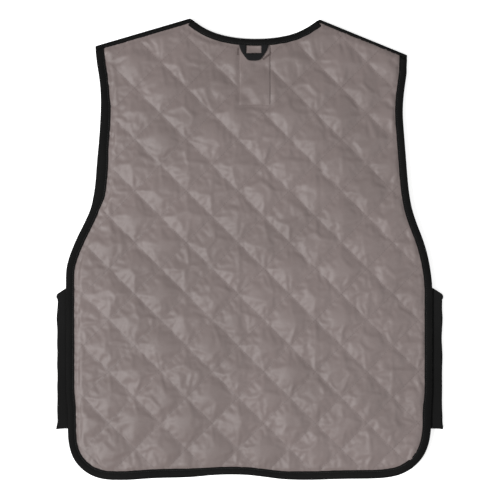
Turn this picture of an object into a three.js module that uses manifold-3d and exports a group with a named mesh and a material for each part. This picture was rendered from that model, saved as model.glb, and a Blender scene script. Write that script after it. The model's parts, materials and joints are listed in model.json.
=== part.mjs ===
import * as THREE from "three";
import { mergeVertices } from "three/addons/utils/BufferGeometryUtils.js";
import Module from "manifold-3d";

// A quilted cooling vest that lies flat on its front, with its back up.
// Lengths are millimetres. +Y runs from the hem to the neck, +X is to the right seen from above.

// Cut of the back
const BACK_LENGTH = 647;
const BODY_WIDTH = 510;
const SHOULDER_SPAN = 437.5;
const SHOULDER_DROP = 46;
const SHOULDER_ASKEW = 2.4;
const NECK_WIDTH = 181;
const NECK_DROP = 29.4;
const NECK_ASKEW = 7.4;
const ARMHOLE_DEPTH = 362;
const CORNER_RADIUS = 63;
const HEM_RISE = 8.4;

// Cut of the two front halves, which the back hides
const FRONT_INSET = 3;
const V_NECK_DEPTH = 225;

// Quilted cloth
const QUILT_SPACING = 51;
const QUILT_X = 19.6;
const QUILT_Y = 44.8;
const EDGE_CORE = 2.2;
const SEAM_FILL = 0.8;
const PUFF_HEIGHT = 2.8;
const PUFF_REACH = 22;

// How high the back lies over the front
const MOUTH_HEIGHT = 4.6;
const LOFT_HEIGHT = 6;
const LOFT_REACH = 110;
const SHOULDER_SINK = 4;
const SHOULDER_REACH = 150;

// Folded tape round the edges
const TAPE = 0.8;
const BINDING_WIDTH = 11.8;
const NECK_BINDING_WIDTH = 9.8;
const SHOULDER_TAPE_WIDTH = 5.5;

// Elastic side panels, folded in half
const ELASTIC = 1.6;
const ELASTIC_REACH = 16;
const ELASTIC_TUCK = 9;
const ELASTIC_HEIGHT = 197;
const ELASTIC_SLANT = 10;
const ELASTIC_ABOVE_HEM = 72;

// Neck patch, hang loop and zip
const PATCH_WIDTH = 43.6;
const PATCH_LENGTH = 84;
const PATCH_CLOTH = 1;
const LOOP_WIDTH = 41.4;
const LOOP_END_WIDTH = 19.6;
const LOOP_LENGTH = 21;
const LOOP_HOLE_WIDTH = 21.2;
const LOOP_HOLE_LENGTH = 10.4;
const LOOP_WEBBING = 2;
const LOOP_LIFT = 2.4;
const LOOP_ASKEW = -1.5;
const ZIP_WIDTH = 14;
const ZIP_TAPE = 1;
const ZIP_CHAIN_WIDTH = 6;
const ZIP_CHAIN = 2.6;

// Clearance between pieces that touch
const GAP = 0.3;

// The vest lies a little askew, so each side has its own shares of the sizes above.
// In an armhole, at runs from the shoulder tip down to the underarm, and out from the tip to the side.
// In a fold, at runs up the elastic, and out is a share of its reach.
const SIDES = [
  {
    name: "left",
    hand: -1,
    shoulderDrop: 0.85,
    underarm: 0.967,
    corner: 0.94,
    binding: 1,
    armhole: [
      { at: 0, out: 0 },
      { at: 0.06, out: -0.04 },
      { at: 0.16, out: -0.18 },
      { at: 0.25, out: -0.22 },
      { at: 0.38, out: -0.18 },
      { at: 0.54, out: -0.07 },
      { at: 0.65, out: 0 },
      { at: 0.73, out: 0.14 },
      { at: 0.78, out: 0.32 },
      { at: 0.84, out: 0.55 },
      { at: 0.89, out: 0.77 },
      { at: 0.95, out: 0.92 },
      { at: 1, out: 1 },
    ],
    fold: [
      { at: 0, out: 0.95 },
      { at: 0.2, out: 0.86 },
      { at: 0.55, out: 0.85 },
      { at: 0.7, out: 0.93 },
      { at: 0.78, out: 0.98 },
      { at: 0.86, out: 0.91 },
      { at: 0.95, out: 1 },
      { at: 1, out: 0.97 },
    ],
  },
  {
    name: "right",
    hand: 1,
    shoulderDrop: 1.126,
    underarm: 1.036,
    corner: 1.06,
    binding: 0.82,
    armhole: [
      { at: 0, out: 0 },
      { at: 0.06, out: -0.03 },
      { at: 0.11, out: -0.1 },
      { at: 0.17, out: -0.19 },
      { at: 0.25, out: -0.22 },
      { at: 0.37, out: -0.14 },
      { at: 0.48, out: -0.06 },
      { at: 0.58, out: 0.02 },
      { at: 0.66, out: 0.14 },
      { at: 0.74, out: 0.39 },
      { at: 0.79, out: 0.59 },
      { at: 0.84, out: 0.75 },
      { at: 0.9, out: 0.88 },
      { at: 1, out: 1 },
    ],
    fold: [
      { at: 0, out: 0.97 },
      { at: 0.08, out: 0.86 },
      { at: 0.62, out: 0.84 },
      { at: 0.8, out: 0.92 },
      { at: 0.94, out: 0.93 },
      { at: 1, out: 1 },
    ],
  },
];
// at runs across the neck from left to right, drop is a share of the neck's drop
const NECK = [
  { at: 0, drop: 0 },
  { at: 0.08, drop: 0.38 },
  { at: 0.155, drop: 0.63 },
  { at: 0.31, drop: 0.9 },
  { at: 0.5, drop: 1 },
  { at: 0.695, drop: 0.91 },
  { at: 0.85, drop: 0.65 },
  { at: 0.93, drop: 0.36 },
  { at: 1, drop: 0.05 },
];
// at runs along the hem between the corners, rise is a share of the hem's rise
const HEM = [
  { at: 0, rise: 0 },
  { at: 0.075, rise: 0.14 },
  { at: 0.15, rise: 0.45 },
  { at: 0.3, rise: 0.62 },
  { at: 0.37, rise: 0.95 },
  { at: 0.5, rise: 1 },
  { at: 0.57, rise: 0.62 },
  { at: 0.62, rise: 0.28 },
  { at: 0.72, rise: 0.12 },
  { at: 0.85, rise: 0.3 },
  { at: 1, rise: 0.32 },
];

// How finely curves are divided
const ARMHOLE_STEPS = 15;
const CORNER_STEPS = 5;
const HEM_STEPS = 16;
const NECK_STEPS = 10;
const FOLD_STEPS = 8;
const BEND_STEPS = 4;
const BACK_QUILT_CELLS = 4;
const FRONT_QUILT_CELLS = 3;
const UNDERSIDE_CELL = 27;

// Places worked out from the sizes
const TOP = BACK_LENGTH / 2;
const HEM_LINE = -BACK_LENGTH / 2;
const HALF_WIDTH = BODY_WIDTH / 2;
const SLOT = TAPE + GAP;
const BINDING_HEIGHT = 2 * SLOT + EDGE_CORE;
const BACK_LEVEL = BINDING_HEIGHT + MOUTH_HEIGHT;
const PUFF_MARGIN = QUILT_SPACING / 5;
const PUFF_START = BINDING_WIDTH + PUFF_MARGIN;
const ZIP_CLEAR = ZIP_WIDTH / 2 + GAP;
// Cutting shapes reach this far past what they cut
const BEYOND = 40;
const TALL = 120;
// Corners closer than this are one corner, and a mitre is at most this many times the width
const SAME_CORNER = 1e-4;
const MITRE_LIMIT = 3;

const CLOTH = new THREE.MeshStandardMaterial({ color: 0x877b79, roughness: 0.5, metalness: 0 });
const BLACK_TAPE = new THREE.MeshStandardMaterial({ color: 0x1c1c1c, roughness: 0.75, metalness: 0 });
const BLACK_ELASTIC = new THREE.MeshStandardMaterial({ color: 0x1a191a, roughness: 0.9, metalness: 0 });
const WEBBING = new THREE.MeshStandardMaterial({ color: 0x222325, roughness: 0.8, metalness: 0 });
const ZIP_BLACK = new THREE.MeshStandardMaterial({ color: 0x202021, roughness: 0.6, metalness: 0 });

const wasm = await Module();
wasm.setup();

// Solids and meshes

function solidFrom(geometry) {
  const plain = geometry.clone();
  plain.deleteAttribute("normal");
  plain.deleteAttribute("uv");
  const merged = mergeVertices(plain, SAME_CORNER);
  const shell = new wasm.Mesh({
    numProp: 3,
    vertProperties: merged.getAttribute("position").array,
    triVerts: new Uint32Array(merged.index.array),
  });
  return new wasm.Manifold(shell).asOriginal();
}

function meshFrom(name, solid, material) {
  const shell = solid.getMesh();
  const geometry = new THREE.BufferGeometry();
  geometry.setAttribute("position", new THREE.BufferAttribute(shell.vertProperties, 3));
  geometry.setIndex(new THREE.BufferAttribute(shell.triVerts, 1));
  geometry.computeVertexNormals();
  const mesh = new THREE.Mesh(geometry, material.clone());
  mesh.name = name;
  return mesh;
}

// Moves each corner of a geometry up or down by a height that depends on its place
function displace(geometry, heightAt) {
  const position = geometry.getAttribute("position");
  for (let i = 0; i < position.count; i += 1) {
    const x = position.getX(i);
    const y = position.getY(i);
    position.setZ(i, position.getZ(i) + heightAt(x, y, position.getZ(i)));
  }
  return geometry;
}

// An upright solid over a flat outline, from one height to another
function prism(points, low, high) {
  const shape = new THREE.Shape(points.map((p) => new THREE.Vector2(p.x, p.y)));
  const geometry = new THREE.ExtrudeGeometry(shape, { depth: high - low, bevelEnabled: false });
  return geometry.translate(0, 0, low);
}

// A box given by its low and high corners
function boxBetween(low, high) {
  const size = high.clone().sub(low);
  const geometry = new THREE.BoxGeometry(size.x, size.y, size.z);
  return geometry.translate(low.x + size.x / 2, low.y + size.y / 2, low.z + size.z / 2);
}

// Outlines: open runs and closed loops of points, with the cloth on the left of the way along them

// A smooth curve through one column of a table
function readColumn(rows, column) {
  const places = rows.map((row) => row.at);
  const values = rows.map((row) => row[column]);
  const curve = new THREE.CubicInterpolant(places, values, 1);
  return (share) => curve.evaluate(share)[0];
}

function direction(from, to) {
  return new THREE.Vector2(to.x - from.x, to.y - from.y).normalize();
}

// Shifts a run towards the cloth by widthAt(point), with mitred bends
function inset(points, widthAt, closed) {
  const count = points.length;
  return points.map((point, i) => {
    const before = points[closed ? (i + count - 1) % count : Math.max(i - 1, 0)];
    const after = points[closed ? (i + 1) % count : Math.min(i + 1, count - 1)];
    const into = before === point ? direction(point, after) : direction(before, point);
    const outOf = after === point ? into : direction(point, after);
    const along = into.clone().add(outOf).normalize();
    const stretch = Math.min(1 / along.dot(into), MITRE_LIMIT);
    const width = widthAt(point) * stretch;
    return { ...point, x: point.x - along.y * width, y: point.y + along.x * width };
  });
}

// Lengthens an open run past both of its ends
function extended(points, length) {
  const longer = points.map((point) => ({ ...point }));
  const last = points.length - 1;
  const ends = [[0, 1], [last, last - 1]];
  for (const [end, next] of ends) {
    const outward = direction(points[next], points[end]);
    longer[end].x += outward.x * length;
    longer[end].y += outward.y * length;
  }
  return longer;
}

function distanceToRun(x, y, points, closed) {
  const place = new THREE.Vector3(x, y, 0);
  const nearest = new THREE.Vector3();
  const line = new THREE.Line3();
  const count = closed ? points.length : points.length - 1;
  let shortest = Infinity;
  for (let i = 0; i < count; i += 1) {
    const next = points[(i + 1) % points.length];
    line.start.set(points[i].x, points[i].y, 0);
    line.end.set(next.x, next.y, 0);
    line.closestPointToPoint(place, true, nearest);
    shortest = Math.min(shortest, nearest.distanceTo(place));
  }
  return shortest;
}

const hemRise = readColumn(HEM, "rise");
const neckDrop = readColumn(NECK, "drop");

function shoulderTip(side) {
  const x = SHOULDER_ASKEW + (side.hand * SHOULDER_SPAN) / 2;
  return { x, y: TOP - SHOULDER_DROP * side.shoulderDrop, width: side.binding };
}

function neckPoint(side) {
  const x = NECK_ASKEW + (side.hand * NECK_WIDTH) / 2;
  const across = side.hand < 0 ? 0 : 1;
  return { x, y: TOP - NECK_DROP * neckDrop(across), width: 1 };
}

// Shoulder tip, armhole, side and lower corner of one side
function sideRun(side) {
  const tip = shoulderTip(side);
  const underarm = TOP - ARMHOLE_DEPTH * side.underarm;
  const out = readColumn(side.armhole, "out");
  const run = [];
  for (let i = 0; i <= ARMHOLE_STEPS; i += 1) {
    const share = i / ARMHOLE_STEPS;
    const x = THREE.MathUtils.lerp(tip.x, side.hand * HALF_WIDTH, out(share));
    run.push({ x, y: THREE.MathUtils.lerp(tip.y, underarm, share), width: side.binding });
  }
  const radius = CORNER_RADIUS * side.corner;
  const low = HEM_LINE + HEM_RISE * hemRise(side.hand < 0 ? 0 : 1);
  for (let i = 0; i <= CORNER_STEPS; i += 1) {
    const share = i / CORNER_STEPS;
    const angle = (share * Math.PI) / 2;
    run.push({
      x: side.hand * (HALF_WIDTH - radius * (1 - Math.cos(angle))),
      y: low + radius * (1 - Math.sin(angle)),
      width: THREE.MathUtils.lerp(side.binding, 1, share),
    });
  }
  return run;
}

// From the left shoulder tip down, along the hem and up to the right shoulder tip
function edgeRun() {
  const [left, right] = SIDES.map(sideRun);
  const start = left.at(-1).x;
  const end = right.at(-1).x;
  const hem = [];
  for (let i = 1; i < HEM_STEPS; i += 1) {
    const share = i / HEM_STEPS;
    const x = THREE.MathUtils.lerp(start, end, share);
    hem.push({ x, y: HEM_LINE + HEM_RISE * hemRise(share), width: 1 });
  }
  return [...left, ...hem, ...right.reverse()];
}

// The back neck, from right to left
function neckRun() {
  const [left, right] = SIDES.map(neckPoint);
  const run = [];
  for (let i = 0; i <= NECK_STEPS; i += 1) {
    const share = i / NECK_STEPS;
    const x = THREE.MathUtils.lerp(right.x, left.x, share);
    run.push({ x, y: TOP - NECK_DROP * neckDrop(1 - share), width: 1 });
  }
  return run;
}

const EDGE = edgeRun();
const NECK_EDGE = neckRun();
const BACK_LOOP = [...EDGE, ...NECK_EDGE];
const SHOULDER_LINES = SIDES.map((side) => [neckPoint(side), shoulderTip(side)]);

// Surfaces of the cloth

// The back sinks onto the front towards each shoulder line, fully on the line itself
function shoulderSink(x, y) {
  const clear = SHOULDER_LINES.reduce((share, line) => {
    return share * THREE.MathUtils.smoothstep(distanceToRun(x, y, line, false), 0, SHOULDER_REACH);
  }, 1);
  return -SHOULDER_SINK * (1 - clear);
}

// Where a place lies between two neighbouring stitch lines, for both directions of the diamonds
function quiltPlace(x, y) {
  const across = (x - QUILT_X) * Math.SQRT1_2;
  const along = (y - QUILT_Y) * Math.SQRT1_2;
  const shares = [(across + along) / QUILT_SPACING, (across - along) / QUILT_SPACING];
  return shares.map((share) => Math.abs(share - Math.round(share)) * 2);
}

// Round pillow: 0 on the stitch lines, 1 in the middle of a diamond
function pillow(x, y) {
  const [one, other] = quiltPlace(x, y);
  return Math.sqrt(Math.sin((one * Math.PI) / 2) * Math.sin((other * Math.PI) / 2));
}

// Pillow pressed flat by the surface that it rests on
function pressedPillow(x, y) {
  const [one, other] = quiltPlace(x, y);
  return Math.min(1, 2 * one, 2 * other);
}

const PATCH_TOP = TOP - NECK_DROP;
const PATCH_LOW = PATCH_TOP - NECK_BINDING_WIDTH - PATCH_LENGTH;

// 0 under the neck patch, 1 away from it
function clearOfPatch(x, y) {
  const beside = Math.abs(x - NECK_ASKEW) - PATCH_WIDTH / 2;
  const below = PATCH_LOW - y;
  return THREE.MathUtils.smoothstep(Math.max(beside, below), 0, PUFF_MARGIN);
}

// Heights of the back are above the underside of its binding
function backUnderside(x, y) {
  const depth = distanceToRun(x, y, BACK_LOOP, true);
  const loft = THREE.MathUtils.smoothstep(depth, BINDING_WIDTH, BINDING_WIDTH + LOFT_REACH);
  return SLOT + LOFT_HEIGHT * loft + shoulderSink(x, y);
}

function backTop(x, y) {
  const depth = distanceToRun(x, y, BACK_LOOP, true);
  const fill = THREE.MathUtils.smoothstep(depth, PUFF_START, PUFF_START + PUFF_REACH);
  const puff = PUFF_HEIGHT * pillow(x, y) * clearOfPatch(x, y);
  return backUnderside(x, y) + EDGE_CORE + fill * (SEAM_FILL + puff);
}

// The front's underside lies on the surface, with a groove along each stitch line
function frontUnderside(loop) {
  return (x, y) => {
    const depth = distanceToRun(x, y, loop, true);
    const fill = THREE.MathUtils.smoothstep(depth, PUFF_START, PUFF_START + PUFF_REACH);
    return SLOT * (1 - fill * pressedPillow(x, y));
  };
}

// A slab whose cells follow the stitch lines: its one face takes a height, its other face stays far away
function quiltedSlab(heightAt, upward, cellsEach) {
  const reach = (BODY_WIDTH + BACK_LENGTH) / 2 + Math.abs(QUILT_X) + Math.abs(QUILT_Y);
  const diamonds = 2 * Math.ceil((reach * Math.SQRT1_2) / QUILT_SPACING);
  const size = diamonds * QUILT_SPACING;
  const cells = diamonds * cellsEach;
  const geometry = new THREE.BoxGeometry(size, size, TALL, cells, cells, 1);
  geometry.rotateZ(Math.PI / 4).translate(QUILT_X, QUILT_Y, 0);
  return facedSlab(geometry, heightAt, upward);
}

function plainSlab(heightAt, upward) {
  const width = BODY_WIDTH + 2 * BEYOND;
  const length = BACK_LENGTH + 2 * BEYOND;
  const across = Math.ceil(width / UNDERSIDE_CELL);
  const along = Math.ceil(length / UNDERSIDE_CELL);
  const geometry = new THREE.BoxGeometry(width, length, TALL, across, along, 1);
  return facedSlab(geometry, heightAt, upward);
}

function facedSlab(geometry, heightAt, upward) {
  displace(geometry, (x, y, z) => {
    const isFace = upward ? z > 0 : z < 0;
    return isFace ? heightAt(x, y) - z : 0;
  });
  return solidFrom(geometry);
}

// Tapes

// A strip along a run, from one distance in from the edge to another
function strip(run, from, to, low, high) {
  const steps = run.length - 1;
  const outer = inset(run, from, false);
  const inner = inset(run, to, false);
  const geometry = new THREE.BoxGeometry(1, 1, high - low, steps, 1, 1);
  geometry.translate(0.5, 0.5, (high + low) / 2);
  const position = geometry.getAttribute("position");
  for (let i = 0; i < position.count; i += 1) {
    const station = Math.round(position.getX(i) * steps);
    const place = position.getY(i) > 0.5 ? inner[station] : outer[station];
    position.setXY(i, place.x, place.y);
  }
  return geometry;
}

// A tape folded round the edge of the cloth: a channel that is open towards the cloth
function foldedTape(run, widthAt, height, heightAt) {
  const long = extended(run, BEYOND);
  const outside = strip(long, () => 0, widthAt, 0, height);
  const inside = strip(long, () => TAPE, (p) => widthAt(p) + TAPE, TAPE, height - TAPE);
  const shell = solidFrom(displace(outside, heightAt));
  return shell.subtract(solidFrom(displace(inside, heightAt)));
}

// The band of space over a shoulder line, from some distance below it to well above it
function shoulderBand(line, below) {
  const run = extended(line, BEYOND);
  return solidFrom(strip(run, () => -BEYOND, () => below, -TALL, TALL));
}

// SHOULDER_LINES run from the neck out, so the cloth is on their left on the left side only
function shoulderLine(side) {
  const line = SHOULDER_LINES[SIDES.indexOf(side)];
  return side.hand < 0 ? line : [...line].reverse();
}

function trimAtShoulders(solid) {
  return SIDES.reduce((rest, side) => {
    return rest.subtract(shoulderBand(shoulderLine(side), SHOULDER_TAPE_WIDTH + GAP));
  }, solid);
}

const bindingWidth = (point) => BINDING_WIDTH * point.width;
const neckBindingWidth = () => NECK_BINDING_WIDTH;
const shoulderTapeWidth = () => SHOULDER_TAPE_WIDTH;
const levelGround = () => 0;

// The back and what is sewn on it, with heights above the underside of the back's binding

function backPanel() {
  const outline = prism(inset(BACK_LOOP, () => SLOT, true), -TALL, TALL);
  const cloth = quiltedSlab(backTop, true, BACK_QUILT_CELLS).intersect(plainSlab(backUnderside, false));
  return cloth.intersect(solidFrom(outline));
}

function backBinding() {
  return trimAtShoulders(foldedTape(EDGE, bindingWidth, BINDING_HEIGHT, shoulderSink));
}

function neckBinding() {
  return trimAtShoulders(foldedTape(NECK_EDGE, neckBindingWidth, BINDING_HEIGHT, shoulderSink));
}

function neckPatch() {
  const low = new THREE.Vector3(NECK_ASKEW - PATCH_WIDTH / 2, PATCH_LOW, -TALL);
  const high = new THREE.Vector3(NECK_ASKEW + PATCH_WIDTH / 2, PATCH_TOP, TALL);
  const above = quiltedSlab((x, y) => backTop(x, y) + GAP, true, BACK_QUILT_CELLS);
  const below = quiltedSlab((x, y) => backTop(x, y) + GAP + PATCH_CLOTH, true, BACK_QUILT_CELLS);
  const neck = extended(NECK_EDGE, BEYOND);
  const tape = strip(neck, () => -BEYOND, () => NECK_BINDING_WIDTH + GAP, -TALL, TALL);
  return solidFrom(boxBetween(low, high)).intersect(below).subtract(above).subtract(solidFrom(tape));
}

// Webbing sewn in at the neck as a loop, whose sides slant in to its end
function hangLoop() {
  const half = LOOP_WIDTH / 2;
  const halfEnd = LOOP_END_WIDTH / 2;
  const halfHole = LOOP_HOLE_WIDTH / 2;
  const bulge = new THREE.Vector2(0.63 * half, -0.71 * LOOP_LENGTH);
  const shape = new THREE.Shape();
  shape.moveTo(-half, 0);
  shape.quadraticCurveTo(-bulge.x, bulge.y, -halfEnd, -LOOP_LENGTH);
  shape.lineTo(halfEnd, -LOOP_LENGTH);
  shape.quadraticCurveTo(bulge.x, bulge.y, half, 0);
  shape.lineTo(halfHole, 0);
  shape.lineTo(halfHole, -LOOP_HOLE_LENGTH);
  shape.lineTo(-halfHole, -LOOP_HOLE_LENGTH);
  shape.lineTo(-halfHole, 0);
  const options = { depth: LOOP_WEBBING, bevelEnabled: false, curveSegments: BEND_STEPS };
  const geometry = new THREE.ExtrudeGeometry(shape, options);
  displace(geometry, (x, y) => (-y / LOOP_LENGTH) * LOOP_LIFT);
  return solidFrom(geometry);
}

function hangLoopPlace() {
  const x = NECK_ASKEW + LOOP_ASKEW;
  const y = PATCH_TOP - NECK_BINDING_WIDTH - GAP;
  const surface = Math.max(backTop(x - LOOP_WIDTH / 2, y), backTop(x + LOOP_WIDTH / 2, y));
  return new THREE.Vector3(x, y, surface + PATCH_CLOTH + 2 * GAP);
}

// The front halves, with heights above the surface that the vest lies on

const V_NECK_END = new THREE.Vector2(0, TOP - V_NECK_DEPTH);

// The part of the edge that belongs to one front half, from its shoulder to just past the middle
function frontRun(side) {
  const run = inset(EDGE, () => FRONT_INSET, false).filter((p) => p.x * side.hand > -BEYOND);
  const [neck, tip] = SHOULDER_LINES[SIDES.indexOf(side)];
  const inward = direction(tip, neck).multiplyScalar(FRONT_INSET);
  const start = { ...tip, x: tip.x + inward.x, y: tip.y + inward.y };
  return side.hand < 0 ? [start, ...run.slice(1)] : [...run.slice(0, -1), start];
}

// The V-neck edge of one front half, from just past the middle up to the neck point, or back
function vNeckRun(side) {
  const neck = neckPoint(side);
  const down = direction(neck, V_NECK_END).multiplyScalar(BEYOND);
  const end = { x: V_NECK_END.x + down.x, y: V_NECK_END.y + down.y, width: 1 };
  return side.hand < 0 ? [end, neck] : [neck, end];
}

function ownHalf(side) {
  const inner = ZIP_CLEAR;
  const outer = HALF_WIDTH + BEYOND;
  const low = new THREE.Vector3(side.hand < 0 ? -outer : inner, -BACK_LENGTH, -TALL);
  const high = new THREE.Vector3(side.hand < 0 ? -inner : outer, BACK_LENGTH, TALL);
  return solidFrom(boxBetween(low, high));
}

function frontPanel(side) {
  const loop = [...frontRun(side), ...vNeckRun(side)];
  const outline = prism(inset(loop, () => SLOT, true), -TALL, SLOT + EDGE_CORE);
  const cloth = quiltedSlab(frontUnderside(loop), false, FRONT_QUILT_CELLS).intersect(solidFrom(outline));
  return cloth.intersect(ownHalf(side));
}

function frontBinding(side) {
  const tape = foldedTape(frontRun(side), bindingWidth, BINDING_HEIGHT, levelGround);
  return trimAtShoulders(tape).intersect(ownHalf(side));
}

function frontNeckBinding(side) {
  const tape = foldedTape(vNeckRun(side), neckBindingWidth, BINDING_HEIGHT, levelGround);
  return trimAtShoulders(tape).intersect(ownHalf(side));
}

// Tape over the fold where back and front meet on a shoulder
function shoulderTape(side) {
  const line = extended(shoulderLine(side), BEYOND);
  const height = BACK_LEVEL + BINDING_HEIGHT - SHOULDER_SINK;
  const tape = foldedTape(line, shoulderTapeWidth, height, levelGround);
  return tape.intersect(solidFrom(prism(BACK_LOOP, -TALL, TALL)));
}

// Elastic folded in half, seen from above: its open side lies under the bindings, its fold points outwards
function sideElastic(side) {
  const height = MOUTH_HEIGHT - 2 * GAP;
  const radius = height / 2;
  const fold = ELASTIC_REACH - radius;
  const bend = (bendRadius, from, to) => {
    return Array.from({ length: BEND_STEPS + 1 }, (_, i) => {
      const angle = THREE.MathUtils.lerp(from, to, i / BEND_STEPS);
      return [fold + bendRadius * Math.cos(angle), radius + bendRadius * Math.sin(angle)];
    });
  };
  const outside = bend(radius, -Math.PI / 2, Math.PI / 2);
  const inside = bend(radius - ELASTIC, Math.PI / 2, -Math.PI / 2);
  const corners = [
    [-ELASTIC_TUCK, 0],
    ...outside,
    [-ELASTIC_TUCK, height],
    [-ELASTIC_TUCK, height - ELASTIC],
    ...inside,
    [-ELASTIC_TUCK, ELASTIC],
  ];
  const shape = new THREE.Shape(corners.map(([x, z]) => new THREE.Vector2(x * side.hand, z)));
  const options = { depth: ELASTIC_HEIGHT, steps: FOLD_STEPS, bevelEnabled: false };
  const geometry = new THREE.ExtrudeGeometry(shape, options);
  geometry.rotateX(Math.PI / 2).translate(0, ELASTIC_HEIGHT, 0);
  const position = geometry.getAttribute("position");
  const foldOut = readColumn(side.fold, "out");
  for (let i = 0; i < position.count; i += 1) {
    const out = Math.max(0, position.getX(i) * side.hand) / ELASTIC_REACH;
    const up = position.getY(i) / ELASTIC_HEIGHT;
    const slant = ELASTIC_SLANT * out * THREE.MathUtils.smoothstep(up, 0.5, 1);
    position.setX(i, position.getX(i) - side.hand * ELASTIC_REACH * out * (1 - foldOut(up)));
    position.setY(i, position.getY(i) - slant);
  }
  return solidFrom(geometry);
}

// Closed zip between the front halves: a tape with a thicker chain along its middle
function frontZip() {
  const half = ZIP_WIDTH / 2;
  const chain = ZIP_CHAIN_WIDTH / 2;
  const rise = (ZIP_CHAIN - ZIP_TAPE) / 2;
  const corners = [
    [-half, rise],
    [-chain, rise],
    [-chain, 0],
    [chain, 0],
    [chain, rise],
    [half, rise],
    [half, rise + ZIP_TAPE],
    [chain, rise + ZIP_TAPE],
    [chain, ZIP_CHAIN],
    [-chain, ZIP_CHAIN],
    [-chain, rise + ZIP_TAPE],
    [-half, rise + ZIP_TAPE],
  ];
  const shape = new THREE.Shape(corners.map(([x, z]) => new THREE.Vector2(x, z)));
  const length = V_NECK_END.y - (HEM_LINE + HEM_RISE + FRONT_INSET);
  const geometry = new THREE.ExtrudeGeometry(shape, { depth: length, bevelEnabled: false });
  return solidFrom(geometry.rotateX(Math.PI / 2));
}


function backGroup() {
  const group = new THREE.Group();
  group.position.z = BACK_LEVEL;
  const loop = meshFrom("hang_loop", hangLoop(), WEBBING);
  loop.position.copy(hangLoopPlace());
  group.add(
    meshFrom("back_panel", backPanel(), CLOTH),
    meshFrom("back_binding", backBinding(), BLACK_TAPE),
    meshFrom("neck_binding", neckBinding(), BLACK_TAPE),
    meshFrom("neck_patch", neckPatch(), CLOTH),
    loop,
  );
  return group;
}

function frontGroup() {
  const group = new THREE.Group();
  for (const side of SIDES) {
    group.add(
      meshFrom(`front_panel_${side.name}`, frontPanel(side), CLOTH),
      meshFrom(`front_binding_${side.name}`, frontBinding(side), BLACK_TAPE),
      meshFrom(`front_neck_binding_${side.name}`, frontNeckBinding(side), BLACK_TAPE),
    );
  }
  const zip = meshFrom("front_zip", frontZip(), ZIP_BLACK);
  zip.position.set(0, V_NECK_END.y, SLOT / 2);
  group.add(zip);
  return group;
}

function sideGroup(side) {
  const group = new THREE.Group();
  const elastic = meshFrom(`side_panel_${side.name}`, sideElastic(side), BLACK_ELASTIC);
  const low = HEM_LINE + ELASTIC_ABOVE_HEM;
  elastic.position.set(side.hand * HALF_WIDTH, low, BINDING_HEIGHT + GAP);
  group.add(elastic, meshFrom(`shoulder_tape_${side.name}`, shoulderTape(side), BLACK_TAPE));
  return group;
}

const vest = new THREE.Group();
vest.add(backGroup(), frontGroup(), ...SIDES.map(sideGroup));

export default vest;
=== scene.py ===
"""A quilted cooling vest, lying front down with its back up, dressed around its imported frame."""

import json
import logging
import math
import random
from collections.abc import Callable, Sequence
from dataclasses import dataclass, field
from enum import Enum

import bmesh
import bpy
from mathutils import Matrix, Vector, noise
from mathutils.bvhtree import BVHTree
from mathutils.kdtree import KDTree

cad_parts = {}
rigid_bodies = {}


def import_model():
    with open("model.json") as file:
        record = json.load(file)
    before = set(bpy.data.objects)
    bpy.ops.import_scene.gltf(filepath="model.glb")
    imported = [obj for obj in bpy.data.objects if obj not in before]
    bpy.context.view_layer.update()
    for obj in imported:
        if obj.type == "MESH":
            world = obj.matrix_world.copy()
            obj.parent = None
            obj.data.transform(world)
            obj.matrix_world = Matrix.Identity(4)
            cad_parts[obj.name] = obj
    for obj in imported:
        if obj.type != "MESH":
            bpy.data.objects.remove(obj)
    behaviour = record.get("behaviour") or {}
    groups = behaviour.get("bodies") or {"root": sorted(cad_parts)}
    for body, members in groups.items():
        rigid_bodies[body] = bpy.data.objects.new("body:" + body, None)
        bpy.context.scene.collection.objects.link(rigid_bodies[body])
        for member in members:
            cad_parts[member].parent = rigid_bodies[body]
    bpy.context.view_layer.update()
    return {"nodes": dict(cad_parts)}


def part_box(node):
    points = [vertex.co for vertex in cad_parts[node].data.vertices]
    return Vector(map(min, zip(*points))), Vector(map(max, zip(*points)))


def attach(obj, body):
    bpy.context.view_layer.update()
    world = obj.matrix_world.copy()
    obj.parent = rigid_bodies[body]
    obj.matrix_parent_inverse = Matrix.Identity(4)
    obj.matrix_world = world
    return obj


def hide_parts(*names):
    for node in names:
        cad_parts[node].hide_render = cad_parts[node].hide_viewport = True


for leftover in list(bpy.data.objects):
    bpy.data.objects.remove(leftover)
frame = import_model()

LOG = logging.getLogger("vest")
MM = 0.001
UP = Vector((0.0, 0.0, 1.0))

# The diamonds' stitch lines run at 45 degrees, and two of them cross here
QUILT_SPACING = 51 * MM
QUILT_CROSSING = Vector((19.6 * MM, 44.8 * MM))
STITCHES_PER_DIAMOND = 16
QUILT_REACH = 9
OUTLINE_STEP = 3 * MM
TAPE_OVERHANG = 1.1 * MM
# The cloth starts to rise this far under the tape
TAPE_LAP = 1.3 * MM
NECK_TAPE_WIDTH = 9.8 * MM
SHOULDER_WIDTHS = {"left": 7.4 * MM, "right": 5.5 * MM}
# Places on the back's edge with the tape's width and overhang there, in millimetres
TAPE_SHAPE = (
    (-215, 283, 11.9, 1.1),
    (-210, 237, 12.0, 1.3),
    (-209, 174, 14.1, 1.4),
    (-215, 97, 16.0, 1.5),
    (-231, 38, 11.8, 0.9),
    (-254, -71, 11.5, 3.2),
    (-254, -170, 11.5, 3.0),
    (-252, -255, 11.6, 0.5),
    (-225, -312, 12.3, 1.2),
    (-130, -318, 12.7, 2.3),
    (-13, -315, 11.1, 2.1),
    (120, -320, 12.3, 2.0),
    (235, -298, 12.2, 1.0),
    (252, -258, 12.2, 0.4),
    (254, -169, 11.1, 2.2),
    (254, -71, 11.1, 2.2),
    (236, 27, 11.1, 1.9),
    (226, 69, 11.1, 1.9),
    (216, 167, 11.0, 1.9),
    (218, 236, 11.0, 2.3),
    (220, 266, 11.0, 1.2),
)
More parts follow.
